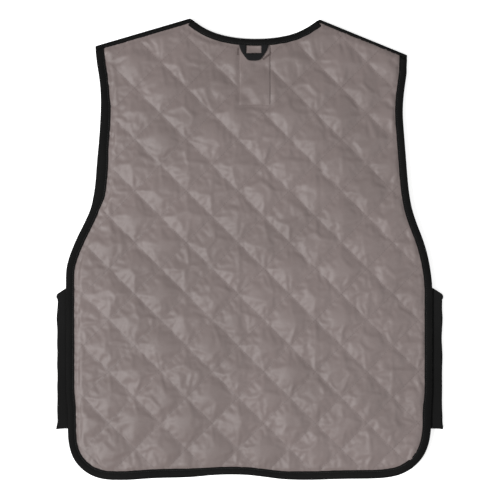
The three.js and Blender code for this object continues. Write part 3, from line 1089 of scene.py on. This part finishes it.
def sew_diamonds(panel: QuiltedPanel, surface: BVHTree, threads: Threads) -> None:
    """Sews the stitch lines of a finished panel on the side that faces up.

    Args:
        panel: maker of the panel.
        surface: the finished panel.
        threads: where the stitches go.
    """
    pitch = QUILT_SPACING / STITCHES_PER_DIAMOND
    reach = QUILT_REACH * STITCHES_PER_DIAMOND
    raised, least_depth = 0.05 * MM, 0.3
    for hand in (-1, 1):
        along = Vector((1, hand, 0)).normalized()
        beside = Vector((-along.y, along.x, 0))
        for line in range(-QUILT_REACH, QUILT_REACH + 1):
            for count in range(-reach, reach):
                spot = QUILT_CROSSING.to_3d() + beside * line * QUILT_SPACING + along * (count + 0.5) * pitch
                hit = surface.ray_cast(Vector((spot.x, spot.y, 1)), -UP)[0]
                if hit is not None and panel.seam_strength(spot.x, spot.y) > least_depth:
                    threads.sew(hit + UP * raised, along)


def sew_row(points: Sequence[Vector], surface: BVHTree, threads: Threads) -> None:
    """Sews a bar of crosswise stitches along a run of points on top of finished pieces.

    Args:
        points: the run in plan.
        surface: what the stitches lie on.
        threads: where the stitches go.
    """
    raised = 0.15 * MM
    run = even_run(points, LOOP_STITCH_PITCH, 1)
    for before, after in zip(run, run[1:]):
        middle = (before + after) / 2
        hit = surface.ray_cast(Vector((middle.x, middle.y, 1)), -UP)[0]
        threads.sew(hit + UP * raised, (after - before).to_3d().cross(UP))


@dataclass
class PressedPanel(QuiltedPanel):
    """A quilted panel whose outer side is pressed flat by what it lies on."""

    thickness: float = 3.3 * MM
    seam_drop: float = 0.4 * MM
    edge_lift: float = 1.1 * MM
    outer_sag: float = 2.2
    even_tape: float = 9.4 * MM

    def taped(self, foot: Vector) -> float:
        """Width of the cloth that the even tape hides, the same at every point."""
        return self.even_tape

    def build(self, material: bpy.types.Material) -> bpy.types.Object:
        """Shapes both sides of the panel and replaces the CAD one.

        Args:
            material: the quilted cloth.

        Returns:
            The panel.
        """
        sheet = self.lay_sheet()
        quilted = sheet.verts.layers.float.new("quilted")
        raised = thicken(sheet)
        for vert in sheet.verts:
            x, y = vert.co.x, vert.co.y
            strength = self.seam_strength(x, y)
            rise = self.diamonds.rise(x, y) * strength
            if vert in raised:
                vert.co.z = self.thickness - self.seam_drop * strength + rise
            else:
                vert.co.z = max(0.0, self.edge_lift - self.outer_sag * rise)
            vert[quilted] = strength
        bmesh.ops.recalc_face_normals(sheet, faces=sheet.faces)
        piece = make_piece(self.name, sheet, material)
        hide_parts(self.node)
        return piece


@dataclass
class EdgeTape:
    """Black tape folded round an edge and sewn down on both sides."""

    name: str
    node: str
    run: Sequence[Vector]
    seed: float
    width: float = 11.8 * MM
    shaped: bool = False
    end_slant: float = 0.0
    slant_points: int = 5
    thickness: float = 0.7 * MM
    fold_depth: float = 2.6 * MM
    fold_points: int = 7
    crown: float = 0.1 * MM
    pucker: float = 0.22 * MM
    pucker_size: float = 5 * MM
    wander: float = 0.35 * MM
    wander_size: float = 8 * MM
    wander_start: float = 0.7
    pattern_step: float = 1.1 * MM
    passes: int = 8
    # Steps from the tape's inner edge over its groove of stitches, inwards and up, in millimetres
    groove: tuple[tuple[float, float], ...] = ((0, -0.2), (0.35, 0), (1.6, 0), (2.2, -0.22), (2.9, 0))

    def heights(self) -> list[tuple[float, float]]:
        """Reads the tape's lower and upper height along its run from the CAD tape.

        Returns:
            A pair for each station, with short jumps smoothed out.
        """
        relief = Relief(self.node)
        found: list[tuple[float, float]] = []
        for index, spot in enumerate(self.run):
            inner = spot - outward(self.run, index) * self.width * 0.5
            low, top = relief.underside(*inner), relief.top(*inner)
            if low is None or top is None:
                low, top = found[-1] if found else (math.nan, math.nan)
            found.append((low, top))
        first = next(pair for pair in found if not math.isnan(pair[0]))
        found = [first if math.isnan(pair[0]) else pair for pair in found]
        for _ in range(self.passes):
            trios = zip(found, found[1:], found[2:])
            smooth = [tuple((a[k] + 2 * b[k] + c[k]) / 4 for k in (0, 1)) for a, b, c in trios]
            found = [found[0], *smooth, found[-1]]
        return found

    def shape(self, spot: Vector) -> tuple[float, float]:
        """Width on top at one point of the run, and how far the tape reaches past the cloth."""
        return tape_shape(spot) if self.shaped else (self.width, TAPE_OVERHANG)

    def profile(self, low: float, top: float, width: float) -> list[tuple[float, float]]:
        """Points round the folded tape, as distance in from its outer edge and height.

        Args:
            low: height of its lower face.
            top: height of its upper face.
            width: its width on top.

        Returns:
            The closed ring, from the upper inner edge round the fold and back inside.
        """
        depth = min(self.fold_depth, (top - low) * 0.45)
        middle, half = (low + top) / 2, (top - low) / 2
        edge = [(width, top - self.thickness)]
        edge += [(width - inward * MM, top + rise * MM) for inward, rise in self.groove]
        edge.append((width * 0.5, top + self.crown))
        fold = []
        for index in range(self.fold_points):
            angle = math.pi / 2 - math.pi * index / (self.fold_points - 1)
            fold.append((depth * (1 - math.cos(angle)), middle + half * math.sin(angle)))
        under = [(distance, low + top - height) for distance, height in reversed(edge)]
        inside_low, inside_top = low + self.thickness, top - self.thickness
        inside = [(self.width * 0.5, inside_low), (depth, inside_low), (self.thickness, middle)]
        inside += [(depth, inside_top), (self.width * 0.5, inside_top)]
        return edge + fold + under + inside

    def build(self, material: bpy.types.Material) -> bpy.types.Object:
        """Folds the tape round its run and replaces the CAD tape.

        Args:
            material: the tape's cloth.

        Returns:
            The tape.
        """
        heights = self.heights()
        shapes = [self.shape(spot) for spot in self.run]
        rings = [self.profile(*pair, width) for pair, (width, _) in zip(heights, shapes)]

        def place(station: int, point: int) -> Vector:
            """Gives a point of the tape.

            Args:
                station: number of the place along the run.
                point: number of the point round the fold.

            Returns:
                The point.
            """
            distance, height = rings[station][point]
            side = outward(self.run, station)
            along = station * OUTLINE_STEP
            lift = self.pucker * ripple(along, distance * 0.7, self.pucker_size, self.seed)
            if distance > self.width * self.wander_start:
                distance += self.wander * ripple(along, 0, self.wander_size, self.seed + 4)
            spot = self.run[station] + side * (shapes[station][1] - distance)
            slant = self.end_slant * distance
            ends = smoothstep(self.slant_points, 0, station)
            ends -= smoothstep(self.slant_points, 0, len(self.run) - 1 - station)
            spot += Vector((side.y, -side.x)) * slant * ends
            return Vector((spot.x, spot.y, max(0.0, height + lift)))

        mesh = sweep(len(self.run), len(rings[0]), place, (OUTLINE_STEP, self.pattern_step))
        piece = make_piece(self.name, mesh, material)
        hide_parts(self.node)
        return piece

    def sew(self, threads: Threads) -> None:
        """Sews the row of stitches in the groove along the tape's upper inner edge.

        Args:
            threads: where the stitches go.
        """
        heights = self.heights()
        inset, sunk, ends = 2.2 * MM, 0.16 * MM, 6
        for index in range(ends, len(self.run) - ends):
            side = outward(self.run, index)
            width, overhang = self.shape(self.run[index])
            spot = self.run[index] + side * (overhang - width + inset)
            threads.sew(Vector((spot.x, spot.y, heights[index][1] - sunk)), Vector((-side.y, side.x, 0)))


@dataclass
class ShoulderTape:
    """Narrow tape over the folded shoulder seam."""

    name: str
    node: str
    run: Sequence[Vector]
    width: float
    points: int = 14
    squareness: float = 0.6
    uneven: float = 0.15 * MM
    uneven_size: float = 6 * MM
    pattern_step: float = 1.5 * MM

    def build(self, material: bpy.types.Material) -> bpy.types.Object:
        """Lays the rounded tape along the seam and replaces the CAD one.

        Args:
            material: the tape's cloth.

        Returns:
            The tape.
        """
        low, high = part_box(self.node)
        middle, half = (low[2] + high[2]) / 2, (high[2] - low[2]) / 2

        def place(station: int, point: int) -> Vector:
            """Gives a point of the tape.

            Args:
                station: number of the place along the seam.
                point: number of the point round the tape.

            Returns:
                The point.
            """
            angle = 2 * math.pi * point / self.points
            flat = math.copysign(abs(math.cos(angle)) ** self.squareness, math.cos(angle))
            round_up = math.copysign(abs(math.sin(angle)) ** self.squareness, math.sin(angle))
            lift = self.uneven * ripple(station * OUTLINE_STEP, flat, self.uneven_size, 7)
            side = outward(self.run, station)
            spot = self.run[station] + side * (TAPE_OVERHANG - self.width * (1 - flat) / 2)
            return Vector((spot.x, spot.y, max(0.0, middle + half * round_up + lift)))

        mesh = sweep(len(self.run), self.points, place, (OUTLINE_STEP, self.pattern_step))
        piece = make_piece(self.name, mesh, material)
        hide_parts(self.node)
        return piece


@dataclass
class ElasticSide:
    """Wide ribbed elastic between back and front, folded flat outwards."""

    name: str
    node: str
    hand: int
    thickness: float = 1.5 * MM
    slant: float = 8.5 * MM
    slant_start: float = 0.45
    lower_slant: float = 1.2 * MM
    rib: float = 2.6 * MM
    rib_height: float = 0.12 * MM
    wave: float = 1.3 * MM
    wave_inset: float = 0.9 * MM
    upper_bulge: float = 1.4 * MM
    lower_bulge: float = 1.6 * MM
    uneven: float = 0.3 * MM
    uneven_size: float = 18 * MM
    overreach: float = 0.6 * MM
    step: float = 1.5 * MM
    fold_points: int = 8

    def build(self, material: bpy.types.Material) -> bpy.types.Object:
        """Folds the elastic and replaces the CAD one.

        Args:
            material: the elastic's cloth.

        Returns:
            The folded elastic.
        """
        low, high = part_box(self.node)
        height = high[1] - low[1]
        width = high[0] - low[0]
        inner = high[0] if self.hand < 0 else low[0]
        middle, half = (low[2] + high[2]) / 2, (high[2] - low[2]) / 2
        flat_points = round(width / self.step)
        path: list[tuple[float, float]] = [(k * self.step, 1.0) for k in range(flat_points)]
        for k in range(self.fold_points + 1):
            angle = math.pi / 2 - math.pi * k / self.fold_points
            path.append((width - half + half * math.cos(angle), math.sin(angle)))
        path += [(k * self.step, -1.0) for k in reversed(range(flat_points))]
        inside = 1 - self.thickness / half
        ring = path + [(min(reach, width - half), side * inside) for reach, side in reversed(path)]
        stations = round(height / self.step) + 1

        def place(station: int, point: int) -> Vector:
            """Gives a point of the elastic, slanted and waved more towards its fold.

            Args:
                station: number of the row, from the lower end up.
                point: number of the point round the folded profile.

            Returns:
                The point.
            """
            reach, side = ring[point]
            share = station / (stations - 1)
            y = low[1] + height * share
            outside = reach / width
            beyond = max(0.0, outside - self.slant_start) / (1 - self.slant_start)
            y -= self.slant * beyond * smoothstep(0.75, 1.0, share)
            y -= self.lower_slant * outside**3 * smoothstep(0.03, 0.0, share)
            wave = self.wave * ripple(share * 7, 0, 1.0, 2.0 + self.hand) - self.wave_inset
            wave += self.upper_bulge * (smoothstep(0.955, 0.975, share) * smoothstep(1.0, 0.985, share))
            wave += self.lower_bulge * smoothstep(0.05, 0.0, share)
            ribs = self.rib_height * math.sin(2 * math.pi * reach / self.rib)
            lift = self.uneven * ripple(y, reach, self.uneven_size, 9.0 + self.hand)
            x = inner + self.hand * min(width + self.overreach, reach + wave * outside)
            return Vector((x, y, middle + half * side + (ribs if point < len(path) else 0) + lift))

        mesh = sweep(stations, len(ring), place, (self.step, self.step))
        piece = make_piece(self.name, mesh, material)
        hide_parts(self.node)
        return piece


@dataclass
class NeckPatch:
    """Plain rectangle of the same cloth, sewn on below the neck."""

    name: str = "neck_cloth"
    node: str = "neck_patch"
    thickness: float = 0.4 * MM
    crease: float = 0.4 * MM
    trim: float = 0.2 * MM
    hover: float = 0.05 * MM
    cell: float = 2 * MM
    passes: int = 2

    def build(self, material: bpy.types.Material, surface: BVHTree) -> bpy.types.Object:
        """Lays the rectangle over the back and replaces the CAD patch.

        Args:
            material: the quilted cloth.
            surface: the finished back.

        Returns:
            The patch.
        """
        low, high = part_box(self.node)
        size = Vector((high[0] - low[0], high[1] - low[1]))
        columns, rows = round(size.x / self.cell), round(size.y / self.cell)
        mesh = bmesh.new()
        bmesh.ops.create_grid(mesh, x_segments=columns, y_segments=rows, size=0.5)
        bmesh.ops.scale(mesh, vec=(size.x - self.trim, size.y - self.trim, 1), verts=mesh.verts)
        middle = Vector(((low[0] + high[0]) / 2, (low[1] + high[1]) / 2, 0))
        bmesh.ops.translate(mesh, vec=middle, verts=mesh.verts)
        for vert in mesh.verts:
            vert.co.z = surface.ray_cast(Vector((vert.co.x, vert.co.y, 1)), -UP)[0].z + self.hover
        for _ in range(self.passes):
            bmesh.ops.smooth_vert(mesh, verts=mesh.verts, factor=0.5, use_axis_z=True)
        for vert in thicken(mesh):
            x, y = vert.co.x, vert.co.y
            inset = min(x - low[0], high[0] - x, y - low[1])
            free = smoothstep(2 * MM, 8 * MM, inset)
            crease = ripple(x, y * 0.5, 7 * MM, 11) + 0.6 * ripple(x * 0.6, y, 4 * MM, 12)
            rounded = 0.3 + 0.7 * smoothstep(0, 2 * MM, inset)
            vert.co.z += self.thickness * rounded + free * self.crease * crease
        bmesh.ops.recalc_face_normals(mesh, faces=mesh.faces)
        piece = make_piece(self.name, mesh, material)
        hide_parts(self.node)
        return piece


@dataclass
class HangLoop:
    """Webbing sewn in at the neck as a small loop with folded corners."""

    name: str = "neck_loop"
    node: str = "hang_loop"
    thickness: float = 1.8 * MM
    leg_width: float = 10.1 * MM
    band_width: float = 10.7 * MM
    tuck: float = 2.5 * MM
    dip: float = 0.9 * MM
    tucked_reach: float = 3 * MM
    fold_lift: float = 0.45 * MM
    side_points: tuple[tuple[float, float], ...] = ((0.4, 0.97), (0.61, 0.7), (0.83, 0.39), (1.0, 0.0))
    points: int = 16
    step: float = 1 * MM
    passes: int = 8

    def build(self, material: bpy.types.Material) -> bpy.types.Object:
        """Bends the webbing and replaces the CAD loop.

        Args:
            material: the webbing.

        Returns:
            The loop.
        """
        low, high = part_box(self.node)
        centre, half = (low[0] + high[0]) / 2, (high[0] - low[0]) / 2
        top, length = high[1], high[1] - low[1]
        right = [Vector((half * across, -length * down)) for across, down in self.side_points]
        left = [Vector((-spot.x, spot.y)) for spot in right[::-1]]
        rim = even_run([*left, Vector((0, -length)), *right], self.step, self.passes)

        def edges(share: float) -> tuple[Vector, Vector]:
            """Finds both edges of the webbing.

            Args:
                share: share of the way round.

            Returns:
                Places on the outer and the inner edge.
            """
            turn = math.pi * (share - 0.5)
            outer = rim[round(share * (len(rim) - 1))]
            hole = Vector((half - self.leg_width, length - self.band_width))
            steep = min(1.0, 1.35 * abs(math.sin(turn)) ** 0.8), min(1.0, 1.5 * math.cos(turn) ** 0.9)
            return outer, Vector((math.copysign(hole.x * steep[0], turn), -hole.y * steep[1]))

        def place(station: int, point: int) -> Vector:
            """Gives a point of the webbing.

            Args:
                station: number of the place along the loop.
                point: number of the point round the webbing.

            Returns:
                The point.
            """
            share = station / (len(rim) - 1)
            outer, inner = edges(share)
            angle = 2 * math.pi * point / self.points
            spot = outer.lerp(inner, (1 - math.cos(angle)) / 2)
            upper = math.copysign(min(1.0, 1.6 * abs(math.sin(angle))), math.sin(angle))
            climb = high[2] - low[2] - self.thickness
            lie = low[2] + climb * min(1.0, -spot.y / length) + self.thickness / 2
            folded = self.fold_lift * smoothstep(0.2, 0.35, share) * smoothstep(0.8, 0.65, share)
            sewn_in = smoothstep(self.tucked_reach, 0, -spot.y)
            height = lie + upper * self.thickness / 2 + folded - self.dip * sewn_in
            return Vector((centre + spot.x, top + spot.y + self.tuck * sewn_in, height))

        mesh = sweep(len(rim), self.points, place, (self.step, self.step))
        piece = make_piece(self.name, mesh, material)
        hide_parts(self.node)
        return piece


@dataclass
class ZipFastener:
    """The closed zip between the two fronts."""

    name: str = "front_zipper"
    node: str = "front_zip"
    tooth_pitch: float = 2.4 * MM
    tooth_size: tuple[float, float, float] = (2.0 * MM, 0.9 * MM, 1.3 * MM)
    tooth_shift: float = 0.9 * MM
    sewn_under: float = 1.5 * MM
    tape_thickness: float = 1 * MM
    rounding: float = 0.3 * MM

    def build(self, material: bpy.types.Material) -> bpy.types.Object:
        """Makes tape and teeth and replaces the CAD zip.

        Args:
            material: the zip's plastic and tape.

        Returns:
            The zip.
        """
        low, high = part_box(self.node)
        mesh = bmesh.new()
        size = [high[axis] - low[axis] for axis in range(3)]
        middle = Vector([(high[axis] + low[axis]) / 2 for axis in range(3)])
        bmesh.ops.create_cube(mesh, size=1)
        tape = (size[0] + 2 * self.sewn_under, size[1], self.tape_thickness)
        bmesh.ops.scale(mesh, vec=tape, verts=mesh.verts)
        bmesh.ops.bevel(
            mesh,
            geom=mesh.edges[:],
            offset=self.rounding,
            segments=2,
            profile=0.5,
            affect="EDGES",
            material=-1,
        )
        count = int(size[1] / self.tooth_pitch)
        shape = Matrix.Diagonal((*self.tooth_size, 1))
        for index in range(count):
            y = (index - (count - 1) / 2) * self.tooth_pitch
            side = 1 if index % 2 else -1
            tooth = Matrix.Translation((side * self.tooth_shift, y, 0)) @ shape
            bmesh.ops.create_uvsphere(mesh, u_segments=6, v_segments=4, radius=1, matrix=tooth)
        bmesh.ops.translate(mesh, vec=middle, verts=mesh.verts)
        piece = make_piece(self.name, mesh, material)
        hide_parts(self.node)
        return piece


@dataclass
class Studio:
    """Pale floor, soft lights and the camera straight above."""

    frame_size: float = 0.7
    distance: float = 3.2
    film: float = 36
    aim: Vector = field(default_factory=lambda: Vector((0.0007, -0.0014, 0.01)))
    floor_size: float = 6
    floor_drop: float = 0.3 * MM
    floor_tone: float = 0.93
    floor_glow: float = 0.6
    surround: float = 0.33

    def place_camera(self) -> None:
        """Points a long lens straight down at the photograph's frame."""
        lens = bpy.data.cameras.new("camera")
        lens.sensor_width = self.film
        lens.lens = self.film * self.distance / self.frame_size
        camera = bpy.data.objects.new("camera", lens)
        camera.location = self.aim + UP * self.distance
        bpy.context.scene.collection.objects.link(camera)
        bpy.context.scene.camera = camera

    def lay_floor(self) -> None:
        """Puts a wide pale floor under the vest."""
        mesh = bmesh.new()
        bmesh.ops.create_grid(mesh, x_segments=1, y_segments=1, size=self.floor_size)
        bmesh.ops.translate(mesh, vec=-UP * self.floor_drop, verts=mesh.verts)
        data = bpy.data.meshes.new("floor")
        mesh.to_mesh(data)
        mesh.free()
        floor = bpy.data.objects.new("floor", data)
        bpy.context.scene.collection.objects.link(floor)
        shader = Shader("pale floor")
        shader.surface.inputs["Base Color"].default_value = (*[self.floor_tone] * 3, 1)
        shader.surface.inputs["Roughness"].default_value = 0.9
        shader.surface.inputs["Emission Color"].default_value = (1, 1, 1, 1)
        shader.surface.inputs["Emission Strength"].default_value = self.floor_glow
        data.materials.append(shader.material)

    def add_light(self, name: str, place: tuple[float, float, float], size: float, power: float) -> None:
        """Adds one soft box that points at the vest.

        Args:
            name: the light's name.
            place: where it stands.
            size: its width.
            power: its strength in watts.
        """
        lamp = bpy.data.lights.new(name, "AREA")
        lamp.size, lamp.energy = size, power
        light = bpy.data.objects.new(name, lamp)
        light.location = place
        light.rotation_euler = (self.aim - Vector(place)).to_track_quat("-Z", "Y").to_euler()
        bpy.context.scene.collection.objects.link(light)

    def build(self) -> None:
        """Sets up camera, floor, lights and a pale surround."""
        scene = bpy.context.scene
        scene.view_settings.view_transform = "Standard"
        self.place_camera()
        self.lay_floor()
        self.add_light("left box", (-4.9, -1.9, 7.4), 2.1, 835)
        self.add_light("right box", (2.8, -0.6, 3.6), 2.5, 44)
        world = bpy.data.worlds.new("surround")
        world.use_nodes = True
        background = world.node_tree.nodes["Background"].inputs
        background["Color"].default_value = (1, 1, 1, 1)
        background["Strength"].default_value = self.surround
        scene.world = world


@dataclass
class Vest:
    """All the pieces of the cooling vest, in building order."""

    materials: dict[str, bpy.types.Material] = field(default_factory=dict)

    def make_materials(self) -> None:
        """Builds every finish once."""
        groups = weave_group(), wear_group(), stitch_shade_group()
        finishes = {
            "cloth": ClothFinish(
                "quilted nylon", (0.177, 0.143, 0.137), (0.163, 0.132, 0.126), 0.41, 0.1, 0.28, quilted=True
            ),
            "tape": ClothFinish(
                "edge tape", (0.0035, 0.0035, 0.0034), (0.002, 0.002, 0.002), 0.6, 0.0, 0.08, 330.0
            ),
            "elastic": ClothFinish(
                "knitted elastic", (0.006, 0.006, 0.006), (0.004, 0.004, 0.004), 0.8, 0.0, 0.12, 300.0
            ),
            "webbing": ClothFinish(
                "loop webbing", (0.009, 0.0095, 0.010), (0.006, 0.006, 0.0065), 0.75, 0.0, 0.15, 420.0
            ),
            "zip": ClothFinish("zip", (0.015, 0.015, 0.015), (0.011, 0.011, 0.011), 0.5, 0.0),
            "thread": ClothFinish("thread", (0.20, 0.165, 0.158), (0.17, 0.14, 0.135), 0.6, 0.1),
            "brown thread": ClothFinish("brown thread", (0.085, 0.055, 0.05), (0.07, 0.045, 0.042), 0.7, 0.1),
            "black thread": ClothFinish("black thread", (0.02, 0.02, 0.02), (0.014, 0.014, 0.014), 0.55, 0.1),
        }
        self.materials = {key: finish.make(*groups) for key, finish in finishes.items()}

    def build_back(self) -> QuiltedPanel:
        """Makes the quilted back with its patch and loop.

        Returns:
            The back panel's maker.
        """
        low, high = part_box("neck_patch")
        back = QuiltedPanel(
            "back_quilt",
            "back_panel",
            Vector((0, 0)),
            Diamonds("back", 2.8 * MM),
            pressed_at=(Vector(low).to_2d(), Vector(high).to_2d()),
            crease_x=98.7 * MM,
        )
        cloth = back.build(self.materials["cloth"])
        report(cloth)
        threads = Threads(*QUILT_STITCH)
        sew_diamonds(back, search_tree(cloth), threads)
        report(threads.finish("diamond_stitches", self.materials["thread"], "quilted_cloth"))
        patch = NeckPatch().build(self.materials["cloth"], search_tree(cloth))
        report(patch)
        report(HangLoop().build(self.materials["webbing"]))
        brown = Threads(*LOOP_STITCH)
        for row in LOOP_STITCHES:
            sew_row([Vector(spot) * MM for spot in row], search_tree(cloth, patch), brown)
        report(brown.finish("loop_stitches", self.materials["brown thread"], "quilted_cloth"))
        return back

    def build_fronts(self) -> list[QuiltedPanel]:
        """Makes the two pressed fronts and the zip between them.

        Returns:
            The fronts' makers, left then right.
        """
        fronts = []
        for side, hand in (("left", -1), ("right", 1)):
            front = PressedPanel(
                f"front_quilt_{side}",
                f"front_panel_{side}",
                Vector((hand * 0.13, 0)),
                Diamonds(side, 1.0 * MM, fold_height=0.3 * MM),
                cells=14,
            )
            report(front.build(self.materials["cloth"]))
            fronts.append(front)
        report(ZipFastener().build(self.materials["zip"]))
        return fronts

    def build_tapes(self, back: QuiltedPanel, fronts: Sequence[QuiltedPanel]) -> None:
        """Folds the black tapes round all the edges and sews the back's edge and neck tapes.

        Args:
            back: maker of the back panel.
            fronts: makers of the front panels.
        """
        tip_left, neck_left = corner("shoulder_tape_left", 0, 0), corner("shoulder_tape_left", 1, 1)
        tip_right, neck_right = corner("shoulder_tape_right", 1, 0), corner("shoulder_tape_right", 0, 1)
        rim, left, right = back.outline, fronts[0].outline, fronts[1].outline
        zip_left, zip_right = ([corner("front_zip", side, top) for top in (0, 1)] for side in (0, 1))
        neck = {"width": NECK_TAPE_WIDTH}
        rows = (
            ("back_edge_tape", "back_binding", rim, tip_left, tip_right, {"shaped": True, "end_slant": 0.5}),
            ("neck_edge_tape", "neck_binding", rim, neck_right, neck_left, neck),
            ("front_edge_tape_left", "front_binding_left", left, tip_left, zip_left[0], {}),
            ("front_edge_tape_right", "front_binding_right", right, zip_right[0], tip_right, {}),
            ("front_neck_tape_left", "front_neck_binding_left", left, zip_left[1], neck_left, neck),
            ("front_neck_tape_right", "front_neck_binding_right", right, neck_right, zip_right[1], neck),
        )
        tapes = [
            EdgeTape(name, node, outline.run(start, end), float(seed), **cut)
            for seed, (name, node, outline, start, end, cut) in enumerate(rows, 1)
        ]
        threads = Threads(*TAPE_STITCH)
        for tape in tapes:
            report(tape.build(self.materials["tape"]))
        for tape in tapes[:2]:
            tape.sew(threads)
        report(threads.finish("tape_stitches", self.materials["black thread"], "black_tape"))
        shoulders = {"left": rim.run(neck_left, tip_left), "right": rim.run(tip_right, neck_right)}
        for side, run in shoulders.items():
            name, node = f"shoulder_edge_tape_{side}", f"shoulder_tape_{side}"
            tape = ShoulderTape(name, node, run, SHOULDER_WIDTHS[side])
            report(tape.build(self.materials["tape"]))

    def build_sides(self) -> None:
        """Makes the folded elastics."""
        for side, hand in (("left", -1), ("right", 1)):
            elastic = ElasticSide(f"side_elastic_{side}", f"side_panel_{side}", hand)
            report(elastic.build(self.materials["elastic"]))


def report(piece: bpy.types.Object) -> None:
    """Logs a finished piece."""
    LOG.info("%s: %d faces", piece.name, len(piece.data.polygons))


def main() -> None:
    """Builds the studio and the vest."""
    logging.basicConfig(level=logging.INFO, format="%(name)s: %(message)s")
    random.seed(7)
    Studio().build()
    vest = Vest()
    vest.make_materials()
    back = vest.build_back()
    fronts = vest.build_fronts()
    vest.build_tapes(back, fronts)
    vest.build_sides()


if __name__ == "__main__":
    main()
